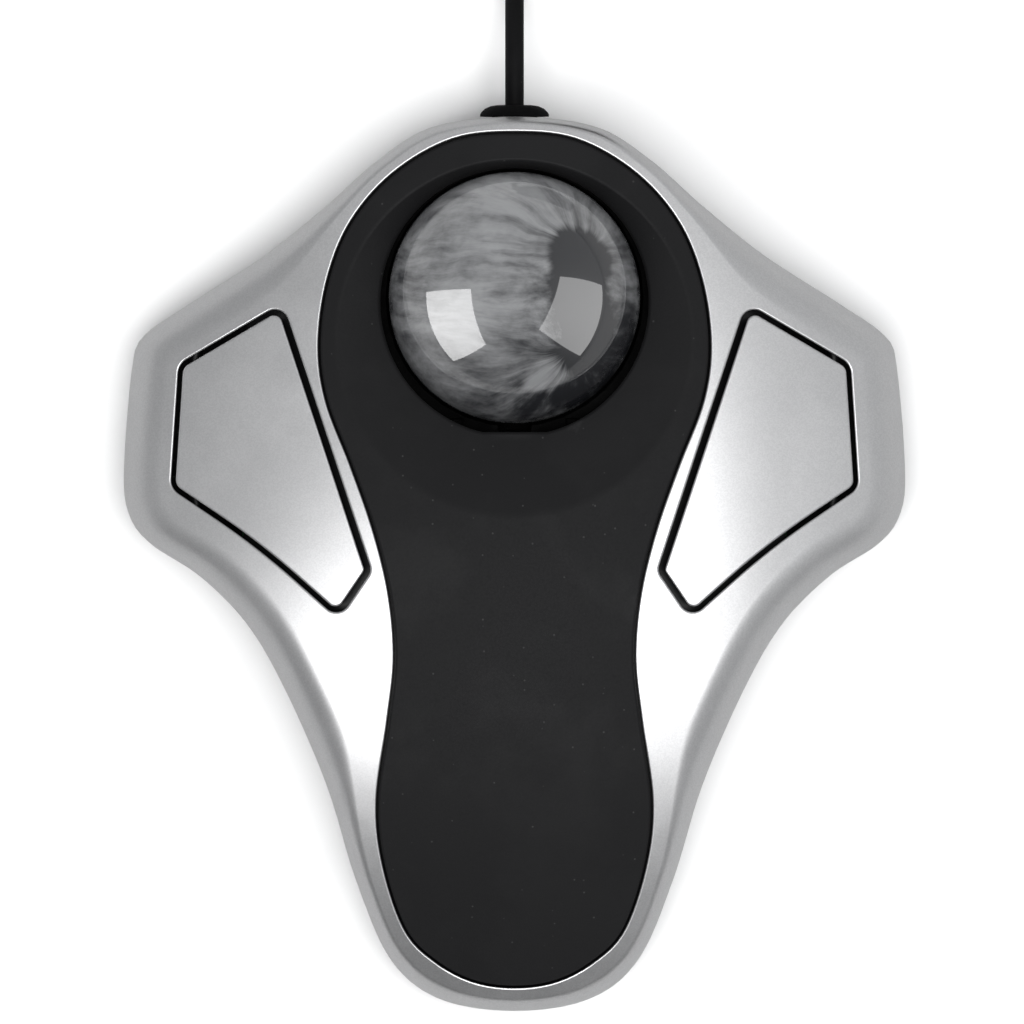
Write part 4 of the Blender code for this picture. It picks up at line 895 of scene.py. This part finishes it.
def panel_top(xy):
    """The panel follows the dome, and falls into a funnel round the ball."""
    to_rim = FUNNEL_R - np.hypot(xy[:, 0], xy[:, 1] - FUNNEL_Y)
    to_hole = np.hypot(xy[:, 0], xy[:, 1] - HOLE_Y) - HOLE_R
    share = np.clip(to_rim, 0, None) / (np.abs(to_rim) + np.clip(to_hole, 0, None) + 1e-6)
    return dome(xy) - FUNNEL_DEPTH * share


def lift(loop, height):
    """Plan points with a height each."""
    return np.column_stack([loop, np.broadcast_to(height, len(loop))])


def inside(points, loop):
    """Which points lie inside a closed loop."""
    x, y = points[:, 0:1], points[:, 1:2]
    x0, y0 = loop[:, 0], loop[:, 1]
    x1, y1 = np.roll(x0, -1), np.roll(y0, -1)
    crosses = (y0 > y) != (y1 > y)
    rise = np.where(y1 == y0, 1, y1 - y0)
    return np.sum(crosses & (x < x0 + (y - y0) * (x1 - x0) / rise), axis=1) % 2 == 1


def away(points, loop):
    """Distance from each point to the nearest point of a loop, negative inside it."""
    near = np.min(np.linalg.norm(points[:, None] - loop[None], axis=2), axis=1)
    return np.where(inside(points, loop), -near, near)


def fill(loops, spacing, marks):
    """Plan points and triangles that fill the first loop around the others, through the marks."""
    edge = np.vstack(loops)
    low, high = edge.min(axis=0), edge.max(axis=0)
    grid = []
    for k, y in enumerate(np.arange(low[1], high[1], spacing * ROW_SHARE)):
        for x in np.arange(low[0] + (k % 2) * spacing / 2, high[0], spacing):
            grid.append((x, y))
    grid = np.array(grid)
    keep = inside(grid, loops[0])
    for loop in loops[1:]:
        keep &= ~inside(grid, loop)
    taken = np.vstack([edge, marks])
    clear = np.min(np.linalg.norm(grid[:, None] - taken[None], axis=2), axis=1) > spacing * CLEAR_SHARE
    grid = np.vstack([marks, grid[keep & clear]])
    edges, start = [], 0
    for loop in loops:
        edges += [(start + i, start + (i + 1) % len(loop)) for i in range(len(loop))]
        start += len(loop)
    plan = [Vector(p) * MM_IN_METRE for p in np.vstack([edge, grid])]
    found = delaunay_2d_cdt(plan, edges, [], 0, SAME_PLACE)
    points = np.array([tuple(v) for v in found[0]]) / MM_IN_METRE
    faces = np.array([f for f in found[2]])
    middle = points[faces].mean(axis=1)
    wanted = inside(middle, loops[0])
    for loop in loops[1:]:
        wanted &= ~inside(middle, loop)
    return points, faces[wanted]


def skin(bm, loops, height, spacing=SKIN_GRID, marks=np.empty((0, 2))):
    """A filled surface in a bmesh: all of its vertices, and those along each loop."""
    points, faces = fill(loops, spacing, marks)
    verts = ring_of(bm, lift(points, height(points)))
    for face in faces:
        bm.faces.new([verts[i] for i in face])
    starts = np.cumsum([0] + [len(loop) for loop in loops])
    return verts, [verts[a:b] for a, b in zip(starts, starts[1:])]


def broken_edge(loop, height, outward, size=EDGE_ROUND, steps=EDGE_STEPS):
    """Rings that round an edge over, from just past the surface's own loop to the wall.
    Outward is 1 where the wall faces away from the surface's middle, -1 in a hole."""
    rings = []
    for k in range(1, steps + 1):
        a = math.pi / 2 * k / steps
        ring = offset(loop, -outward * size * (1 - math.sin(a)))
        rings.append(lift(ring, height(ring) - size * (1 - math.cos(a))))
    return rings


def true_normals(mesh, count, height):
    """Gives the first vertices, which lie on the surface, the surface's own normals."""
    step = 0.00015
    points = np.array([v.co for v in mesh.vertices])[:count, :2]
    slope_x = (height(points + (step, 0)) - height(points - (step, 0))) / (2 * step)
    slope_y = (height(points + (0, step)) - height(points - (0, step))) / (2 * step)
    wanted = np.column_stack([-slope_x, -slope_y, np.ones(len(points))])
    wanted /= np.linalg.norm(wanted, axis=1, keepdims=True)
    normals = np.array([n.vector for n in mesh.corner_normals])
    corners = np.array([loop.vertex_index for loop in mesh.loops])
    on_top = corners < count
    normals[on_top] = wanted[corners[on_top]]
    mesh.normals_split_custom_set(normals.tolist())


OUTLINE = full_outline(SILHOUETTE, OUTLINE_POINTS)
PANEL_EDGE = full_outline(PANEL, PANEL_POINTS)
BUTTON_LINE = divide(rounded([(at(corner), radius) for corner, radius in BUTTON], CORNER_STEPS),
                     BUTTON_STEP)
HINGE_X = max(BUTTON_LINE[:, 0]) - HINGE_INSET
HINGE_REAR = at(BUTTON[1][0])[1]
HINGE_FRONT = at(BUTTON[2][0])[1]
HINGE_Z = float(dome(np.array([(HINGE_X, (HINGE_REAR + HINGE_FRONT) / 2)]))[0]) - HINGE_DROP
WELL_TOP = BASE_Z + WELL_DEPTH + WELL_ROOF
BOSS_BOTTOM = WELL_TOP + GAP


def under_skin(x, y, reach):
    """A level inside the skin over a small footprint."""
    corners = np.array([(x + dx, y + dy) for dx in (-reach, reach) for dy in (-reach, reach)])
    return float(dome(corners).min()) - WALL * INTO_WALL


def bracket_places():
    """Where the two brackets of each hinge bar stand, rear and front."""
    past = BUTTON_GAP + BRACKET_THICK / 2 + BRACKET_CLEAR
    return (HINGE_REAR + past + BRACKET_REAR_SHIFT, HINGE_FRONT - past - BRACKET_FRONT_SHIFT)


# Pieces of the housing

def shell_underside(xy):
    """The dome less the wall, and lower near the panel, where the shell carries the ledge."""
    past = away(xy, PANEL_EDGE)
    near = np.clip(1 - (past - PANEL_GAP) / LEDGE_BLEND, 0, 1)
    return dome(xy) - WALL - (PANEL_THICK + GAP + LEDGE_THICK - WALL) * near


def sill(bm, hole):
    """Dark ledge under the free edge of a button, which closes the view through its gap."""
    free = np.abs(hole[:, 0]) < HINGE_X - SILL_FROM_HINGE
    start = int(np.argmin(free))
    run = np.roll(np.arange(len(hole)), -start)[np.roll(free, -start)]
    lines = []
    for outwards, depth in SILL:
        line = offset(hole, outwards)[run]
        lines.append(lift(line, dome(line) - depth))
    chain(bm, [ring_of(bm, points) for points in zip(*lines)], True, True)


def top_shell():
    """Silver upper half with a rounded rim, broken edges and the ledge under the panel."""
    opening = offset(PANEL_EDGE, PANEL_GAP)
    width = np.minimum(RIM_ROUND, away(OUTLINE, opening) * RIM_SHARE)
    width = smoothed(width, WIDTH_PASSES)[:, None]
    inner_edge = offset(OUTLINE, -np.maximum(width, WALL) - RIM_INNER, RIM_PASSES)
    rim = []
    for angle in np.radians(np.linspace(0, 90, RIM_STEPS + 1))[1:]:
        loop = offset(OUTLINE, -width * (1 - math.sin(angle)), RIM_PASSES)
        rim.append(lift(loop, dome(loop) - RIM_ROUND * (1 - math.cos(angle))))
    rim += [lift(OUTLINE, SKIRT_Z + SKIRT_EDGE), lift(offset(OUTLINE, -SKIRT_EDGE), SKIRT_Z),
            lift(offset(OUTLINE, -WALL), SKIRT_Z)]
    for angle in np.radians((90, 60, 30)):
        loop = offset(OUTLINE, -WALL, LIP_PASSES) * math.sin(angle) + inner_edge * (1 - math.sin(angle))
        thick = dome(inner_edge) - shell_underside(inner_edge)
        rim.append(lift(loop, dome(loop) - thick - (RIM_ROUND - thick) * (1 - math.cos(angle))))

    reach = offset(PANEL_EDGE, -LEDGE)
    drop = PANEL_THICK + GAP
    ledge = broken_edge(opening, dome, -1)
    ledge += [lift(opening, panel_top(opening) - drop), lift(reach, panel_top(reach) - drop)]
    hole = offset(BUTTON_LINE, BUTTON_GAP / 2)
    holes = [hole, mirror(hole)]
    top_loops = [offset(OUTLINE, -width, RIM_PASSES), offset(opening, EDGE_ROUND)]
    top_loops += [offset(h, EDGE_ROUND) for h in holes]

    bm, layer = painted_bmesh()
    verts, upper = skin(bm, top_loops, dome)
    bosses = [(sign * at(spot)[0], at(spot)[1]) for spot in (REAR_BOSS, MIDDLE_BOSS)
              for sign in (1, -1)]
    boss_loops = [circle(spot, POST_RADIUS, POST_SIDES) for spot in bosses]
    _, lower = skin(bm, [inner_edge, reach] + holes + boss_loops, shell_underside, UNDER_GRID)
    between = [rim, ledge] + [broken_edge(h, dome, -1) for h in holes]
    paint(layer, verts)
    painted_rings = (RIM_STEPS + 1, EDGE_STEPS, EDGE_STEPS, EDGE_STEPS)
    for top, rings, bottom, painted in zip(upper, between, lower, painted_rings):
        made = [ring_of(bm, r) for r in rings]
        paint(layer, *made[:painted])
        chain(bm, [top] + made + [bottom])
    for spot, root in zip(bosses, lower[4:]):
        chain(bm, [root] + post_rings(bm, spot, BOSS_BOTTOM, -1, BOSS_PILOT_DEPTH), close_end=True)
    for sign, gap in zip((1, -1), holes):
        sill(bm, gap)
        for y in bracket_places():
            high = under_skin(HINGE_X, y, BRACKET_SIZE / 2)
            low = HINGE_Z - BRACKET_SIZE / 2
            block(bm, (BRACKET_SIZE, BRACKET_THICK, high - low), (sign * HINGE_X, y, (high + low) / 2))
    mesh = to_mesh("top shell", bm)
    true_normals(mesh, len(verts), dome)
    piece("silver_shell", mesh, "housing", "silver_paint", "top_shell")


def post_rings(bm, spot, end, direction, depth):
    """The rest of a hollow post that grows from a round hole in a surface to its free end."""
    floor = end - direction * depth
    return [ring_of(bm, lift(circle(spot, radius, POST_SIDES), z)) for radius, z in
            ((POST_RADIUS, end - direction * POST_EDGE), (POST_RADIUS - POST_EDGE, end),
             (PILOT_RADIUS, end), (PILOT_RADIUS, floor))]


def ball_hole():
    """Round hole for the ball with a straight front edge."""
    loop = circle((0, 0), HOLE_R, HOLE_SIDES)
    loop[:, 1] = np.maximum(loop[:, 1], -HOLE_FLAT)
    return loop + (0, HOLE_Y)


def palm_panel():
    """Black centre panel: a soft rounded border, the funnel and the edge round the ball."""
    hole = ball_hole()
    bm = bmesh.new()
    rim = circle((0, FUNNEL_Y), FUNNEL_R, HOLE_SIDES)
    crease = circle((0, FUNNEL_Y), FUNNEL_R + CREASE_OUT, HOLE_SIDES)
    verts, upper = skin(bm, [offset(PANEL_EDGE, -EDGE_ROUND), rim], panel_top, PANEL_GRID, crease)
    funnel = [upper[1]]
    for share in FUNNEL_RINGS:
        loop = rim * (1 - share) + offset(hole, HOLE_ROUND) * share
        funnel.append(ring_of(bm, lift(loop, panel_top(loop))))
        verts += funnel[-1]
    chain(bm, funnel)
    upper[1] = funnel[-1]
    x, y = at(FRONT_BOSS)
    _, lower = skin(bm, [PANEL_EDGE, hole, circle((x, y), POST_RADIUS, POST_SIDES)],
                    lambda p: panel_top(p) - PANEL_THICK, UNDER_GRID)
    between = [broken_edge(PANEL_EDGE, panel_top, 1), broken_edge(hole, panel_top, -1, HOLE_ROUND)]
    for top, rings, bottom in zip(upper, between, lower):
        chain(bm, [top] + [ring_of(bm, r) for r in rings] + [bottom])
    chain(bm, [lower[2]] + post_rings(bm, (x, y), BOSS_BOTTOM, -1, BOSS_PILOT_DEPTH), close_end=True)
    mesh = to_mesh("palm panel", bm)
    true_normals(mesh, len(verts), panel_top)
    piece("soft_panel", mesh, "housing", "soft_black", "palm_panel")


def base_screw_places():
    """Middle of each screw that holds the two halves together."""
    places = [at(FRONT_BOSS)]
    for _, sign in SIDES:
        places += [(sign * at(spot)[0], at(spot)[1]) for spot in (REAR_BOSS, MIDDLE_BOSS)]
    return places


def post_places():
    """Posts on the base with their free ends: under each board screw and each ear of the cup."""
    places = []
    for screws, end in (("main_board_screw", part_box("main_board")[0].z - GAP),
                        ("cup_screw", CUP_EAR_Z - GAP)):
        for side in ("right", "left", "front"):
            if f"{screws}_{side}" in frame["nodes"]:
                low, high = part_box(f"{screws}_{side}")
                places.append((((low.x + high.x) / 2, (low.y + high.y) / 2), end))
    return places


def base():
    """Lower half: floor, rim and lip, screw wells and posts, all one moulding."""
    wells = base_screw_places()
    posts = post_places()
    floor_edge = offset(OUTLINE, -WALL - GAP - LIP, LIP_PASSES)
    lip_edge = offset(OUTLINE, -WALL - GAP, LIP_PASSES)
    flange = offset(OUTLINE, -FLANGE_INSET)
    lip_top = BASE_Z + LIP_HEIGHT
    rim = [lift(floor_edge, lip_top), lift(lip_edge, lip_top), lift(lip_edge, BASE_Z + FLANGE),
           lift(flange, BASE_Z + FLANGE)]
    for a in np.radians((0, 30, 60)):
        loop = offset(flange, -FLANGE_ROUND * (1 - math.cos(a)))
        rim.append(lift(loop, BASE_Z + FLANGE_ROUND * (1 - math.sin(a))))
    push = circle((0, BALL_CENTRE.y), PUSH_HOLE_RADIUS, PUSH_HOLE_SIDES)
    top_loops = [floor_edge, push] + [circle(w, WELL_RADIUS + WELL_WALL, WELL_SIDES) for w in wells]
    top_loops += [circle(spot, POST_RADIUS, POST_SIDES) for spot, _ in posts]
    low_loops = [offset(flange, -FLANGE_ROUND), offset(push, PUSH_HOLE_EDGE)]
    low_loops += [circle(w, WELL_RADIUS, WELL_SIDES) for w in wells]
    bm = bmesh.new()
    _, upper = skin(bm, top_loops, lambda p: np.full(len(p), FLOOR_Z), FLOOR_GRID)
    _, lower = skin(bm, low_loops, lambda p: np.full(len(p), BASE_Z), FLOOR_GRID)
    roof = BASE_Z + WELL_DEPTH
    between = [rim, [lift(push, BASE_Z + PUSH_HOLE_EDGE)]]
    for w in wells:
        between.append([lift(circle(w, r, WELL_SIDES), z) for r, z in
                        ((WELL_RADIUS + WELL_WALL, WELL_TOP), (PILOT_RADIUS, WELL_TOP),
                         (PILOT_RADIUS, roof), (WELL_RADIUS, roof))])
    for top, rings, bottom in zip(upper, between, lower):
        chain(bm, [top] + [ring_of(bm, r) for r in rings] + [bottom])
    for (spot, end), root in zip(posts, upper[len(lower):]):
        chain(bm, [root] + post_rings(bm, spot, end, 1, POST_PILOT_DEPTH), close_end=True)
    piece("housing_base", to_mesh("base", bm), "housing", "base_black", "base")


def button(side, sign):
    """Flush cap with broken edges, its stem over the switch and its hinge bar."""
    edge = offset(BUTTON_LINE, -BUTTON_GAP / 2) + (BUTTON_SHIFT, 0)
    edge = edge * (sign, 1)
    bm, layer = painted_bmesh()
    verts, upper = skin(bm, [offset(edge, -EDGE_ROUND)], dome, CAP_GRID)
    _, lower = skin(bm, [edge], lambda p: dome(p) - WALL, UNDER_GRID)
    turn_over = [ring_of(bm, r) for r in broken_edge(edge, dome, 1)]
    paint(layer, verts, *turn_over)
    chain(bm, [upper[0]] + turn_over + [lower[0]])
    low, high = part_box(f"{side}_switch_plunger")
    x, y = (low.x + high.x) / 2, (low.y + high.y) / 2
    rod(bm, STEM_RADIUS, (x, y, high.z + GAP), (x, y, under_skin(x, y, STEM_RADIUS)))
    rear, front = bracket_places()
    ends = BRACKET_THICK / 2 + GAP
    rod(bm, HINGE_RADIUS, (sign * HINGE_X, front - ends, HINGE_Z),
        (sign * HINGE_X, rear + ends, HINGE_Z), HINGE_SIDES)
    for lug_y in (HINGE_REAR - LUG_INSET, HINGE_FRONT + LUG_INSET):
        top = under_skin(HINGE_X, lug_y, LUG_WIDTH / 2)
        bottom = HINGE_Z - HINGE_RADIUS - LUG_BELOW
        block(bm, (LUG_WIDTH, LUG_THICK, top - bottom), (sign * HINGE_X, lug_y, (top + bottom) / 2))
    mesh = to_mesh(f"{side} button", bm)
    true_normals(mesh, len(verts), dome)
    piece(f"{side}_click_button", mesh, f"{side}_button", "button_silver", f"{side}_button")


def ball():
    """Polished ball, centred on its own origin so that its pattern rolls with it."""
    bm = bmesh.new()
    bmesh.ops.create_icosphere(bm, subdivisions=6, radius=BALL_R)
    return piece("pearl_ball", to_mesh("ball", bm), "ball", "ball_pearl", "ball", at=BALL_CENTRE)


def feet():
    """Rubber pads with half-round ends."""
    for node in ("rear_foot", "front_left_foot", "front_right_foot", "left_wing_foot",
                 "right_wing_foot"):
        low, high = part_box(node)
        radius = min(high.x - low.x, high.y - low.y) / 2 - FOOT_STRAIGHT
        corners = [((x, y), radius) for x, y in
                   ((high.x, high.y), (high.x, low.y), (low.x, low.y), (low.x, high.y))]
        bm = bmesh.new()
        slab(bm, rounded(corners, FOOT_STEPS), low.z, high.z)
        piece(f"{node}_pad", to_mesh(node, bm), "housing", "rubber_black", node)


# Lead

CORD_DIAMETER = 0.0030
CORD_Z = 0.0105
RELIEF_FACE_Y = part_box("strain_relief")[1].y
LIE = CORD_DIAMETER / 2 + 0.0001
COIL_LOW, COIL_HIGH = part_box("usb_cord_coil")
COIL_CENTRE = (COIL_LOW + COIL_HIGH) / 2
COIL_RADIUS = 0.0177
COIL_ACROSS = 4             # cords side by side, and as many layers
APPROACH = COIL_HIGH.x - COIL_CENTRE.x + GAP + CORD_DIAMETER / 2
ROUTE_POINTS = 22
POINTS_A_TURN = 18
TURNS = 15.25
STEP_SHARE = 0.3            # part of a turn in which the lead moves to its next place
ENTER_SHARE = 0.3
LEAVE_SHARE = 0.35

MOUTH_CLEAR = 0.00005
MOUTH_LIP = ((0, 0.0020), (0, 0.0003), (0.0002, 0.00008), (0.0005, 0))  # outwards, depth
GLAND_FACE = ((0.52, 0), (0.70, 0.00016), (0.86, 0.00055), (0.96, 0.00110),
              (1, 0.0015))                                          # share of the radius, depth
GLAND_NECK = 0.0030
GLAND_FLANGE = 0.85         # share of the radius
GLAND_FLANGE_THICK = 0.0018
GLAND_SIDES = 64

PLUG_SIDES = 48
ROUND, SOFT_BOX = 2, 5      # power of a plug section's outline
BOOT_LENGTH = 0.0060
BOOT_STEPS = 24
BOOT_RADIUS = 0.0024
BOOT_GROWTH = 0.0010
BOOT_RIB = 0.00025
BOOT_RIB_STEPS = 3
GRIP_STEPS = 40
GRIP_END = 0.0018           # how far from each end the grip tapers
GRIP_TAPER = 0.22
RIDGES_FROM, RIDGES_TO = 0.25, 0.72
RIDGES_A_BODY = 14
RIDGE_DEPTH = 0.00022


def cord_route():
    """Straight out of the relief, down to the table and along it to the side of the coil."""
    start = RELIEF_FACE_Y + GAP
    return [(0, start - 0.0012, CORD_Z), (0, start, CORD_Z), (0, start + 0.0060, CORD_Z - 0.0002),
            (0, start + 0.0125, CORD_Z - 0.0024), (0, start + 0.0190, CORD_Z - 0.0062),
            (0, start + 0.0255, LIE + 0.0007), (0, start + 0.0325, LIE),
            (0, start + 0.0420, LIE), (0, COIL_CENTRE.y, LIE)]


def coil_slots():
    """Where each turn lies: (place across, layer). The outer column is wound last, downwards."""
    inner = COIL_ACROSS - 1
    slots = []
    for layer in range(COIL_ACROSS):
        across = range(inner - 1, -1, -1) if layer % 2 == 0 else range(inner)
        slots += [(k, layer) for k in across]
    return slots + [(inner, layer) for layer in range(COIL_ACROSS - 1, -1, -1)]


def ease(value):
    """From 0 to 1 with a soft start and end."""
    value = min(max(value, 0), 1)
    return value * value * (3 - 2 * value)


def coil_points():
    """Points along the coil's turns, clockwise from its left side, which end at its rear."""
    slots = coil_slots()
    low = COIL_LOW.z + CORD_DIAMETER / 2

    def rest(turn):
        across, layer = slots[min(turn, len(slots) - 1)]
        return (COIL_RADIUS + (across - (COIL_ACROSS - 1) / 2) * CORD_DIAMETER,
                low + layer * CORD_DIAMETER)

    points = []
    for k in range(1, int(TURNS * POINTS_A_TURN) + 1):
        t = k / POINTS_A_TURN
        turn = int(t)
        radius, height = rest(turn)
        next_radius, next_height = rest(turn + 1)
        share = ease((t - turn - 1 + STEP_SHARE) / STEP_SHARE)
        radius += (next_radius - radius) * share
        height += (next_height - height) * share
        enter = 1 - ease(t / ENTER_SHARE)
        leave = ease((t - TURNS + LEAVE_SHARE) / LEAVE_SHARE)
        edge = max(enter, leave)
        radius += (APPROACH - radius) * edge
        height += (LIE - height) * edge
        angle = math.pi - 2 * math.pi * t
        points.append((COIL_CENTRE.x + radius * math.cos(angle),
                       COIL_CENTRE.y + radius * math.sin(angle), height))
    return points


def cord():
    """The whole lead as one smooth curve, with its gland and its plug."""
    plug_low, plug_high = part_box("usb_plug_body")
    plug_z = (plug_low.z + plug_high.z) / 2
    tail_y = COIL_CENTRE.y + APPROACH
    tail = [(plug_low.x - 0.0060, tail_y, LIE + 0.0004), (plug_low.x - 0.0020, tail_y, plug_z - 0.0002),
            (plug_low.x + 0.0010, tail_y, plug_z)]
    points = list(map(tuple, spread(cord_route(), ROUTE_POINTS))) + coil_points() + tail
    curve = bpy.data.curves.new("lead", "CURVE")
    curve.dimensions = "3D"
    curve.bevel_depth = CORD_DIAMETER / 2
    curve.bevel_resolution = 5
    curve.use_fill_caps = True
    spline = curve.splines.new("BEZIER")
    spline.bezier_points.add(len(points) - 1)
    spline.resolution_u = 3
    for knot, place in zip(spline.bezier_points, points):
        knot.co = place
        knot.handle_left_type = knot.handle_right_type = "AUTO"
    lead = piece("lead", curve, "housing", "cord_black", "usb_cord", "usb_cord_coil", "usb_cord_tail")
    plug_grip()
    cord_gland()


def cord_gland():
    """Oval rubber grommet: a soft face with a lipped mouth, a neck and a flange inside."""
    low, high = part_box("strain_relief")
    radius = (high.z - low.z) / 2
    oval = (high.x - low.x) / (high.z - low.z)
    mouth = CORD_DIAMETER / 2 / oval + MOUTH_CLEAR
    inner = HALF_L - WALL
    face = high.y - inner
    flange, back = radius * GLAND_FLANGE, -GAP - GLAND_FLANGE_THICK
    profile = [(mouth + outwards, face - depth) for outwards, depth in MOUTH_LIP]
    profile += [(radius * share, face - depth) for share, depth in GLAND_FACE]
    profile += [(radius, WALL + GAP), (GLAND_NECK, WALL + GAP), (GLAND_NECK, -GAP), (flange, -GAP),
                (flange, back), (mouth, back)]
    bm = bmesh.new()
    place = (Matrix.Translation((0, inner, (low.z + high.z) / 2)) @ Matrix.Diagonal((oval, 1, 1, 1))
             @ Matrix.Rotation(-math.pi / 2, 4, "X"))
    turned(bm, profile, place, GLAND_SIDES)
    return piece("cord_gland", to_mesh("cord gland", bm), "housing", "rubber_black", "strain_relief")


def plug_grip():
    """Moulded plug body: a ribbed boot that grows into a soft box with finger ridges."""
    low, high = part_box("usb_plug_body")
    middle = (low + high) / 2
    half_w, half_h = (high.y - low.y) / 2, (high.z - low.z) / 2
    sections = []
    for k in range(BOOT_STEPS + 1):
        share = k / BOOT_STEPS
        swell = BOOT_RADIUS + BOOT_GROWTH * share
        swell += BOOT_RIB * (1 if (k // BOOT_RIB_STEPS) % 2 else -1)
        sections.append((BOOT_LENGTH * share, swell, swell, ROUND))
    body = high.x - low.x - BOOT_LENGTH
    for k in range(GRIP_STEPS + 1):
        share = k / GRIP_STEPS
        to_end = min(share, 1 - share) * body
        soft = 1 - max(0, 1 - to_end / GRIP_END) ** 2 * GRIP_TAPER
        wave = 0.5 - 0.5 * math.cos(2 * math.pi * (share - RIDGES_FROM) * RIDGES_A_BODY)
        ridge = RIDGE_DEPTH * (RIDGES_FROM < share < RIDGES_TO) * wave
        sections.append((BOOT_LENGTH + share * body, half_w * soft - ridge, half_h * soft - ridge,
                         SOFT_BOX))
    bm = bmesh.new()
    rings = []
    for along, across, up, power in sections:
        loop = []
        for x, y in circle((0, 0), 1, PLUG_SIDES):
            loop.append((low.x + along, middle.y + across * math.copysign(abs(x) ** (2 / power), x),
                         middle.z + up * math.copysign(abs(y) ** (2 / power), y)))
        rings.append(ring_of(bm, loop))
    chain(bm, rings, True, True)
    return piece("plug_grip", to_mesh("plug grip", bm), "housing", "plug_black", "usb_plug_body")


def finish_nodes():
    """Gives each node that keeps its shape its own finish."""
    slots = {part["node"]: part["material_slot"] for part in frame["record"]["subparts"]}
    for name, node in frame["nodes"].items():
        if node.hide_render:
            continue
        node.data.materials.clear()
        node.data.materials.append(FINISH[slots[name]])


studio()
cord()
top_shell()
palm_panel()
base()
for side, sign in SIDES:
    button(side, sign)
object_lights(ball())
feet()
finish_nodes()
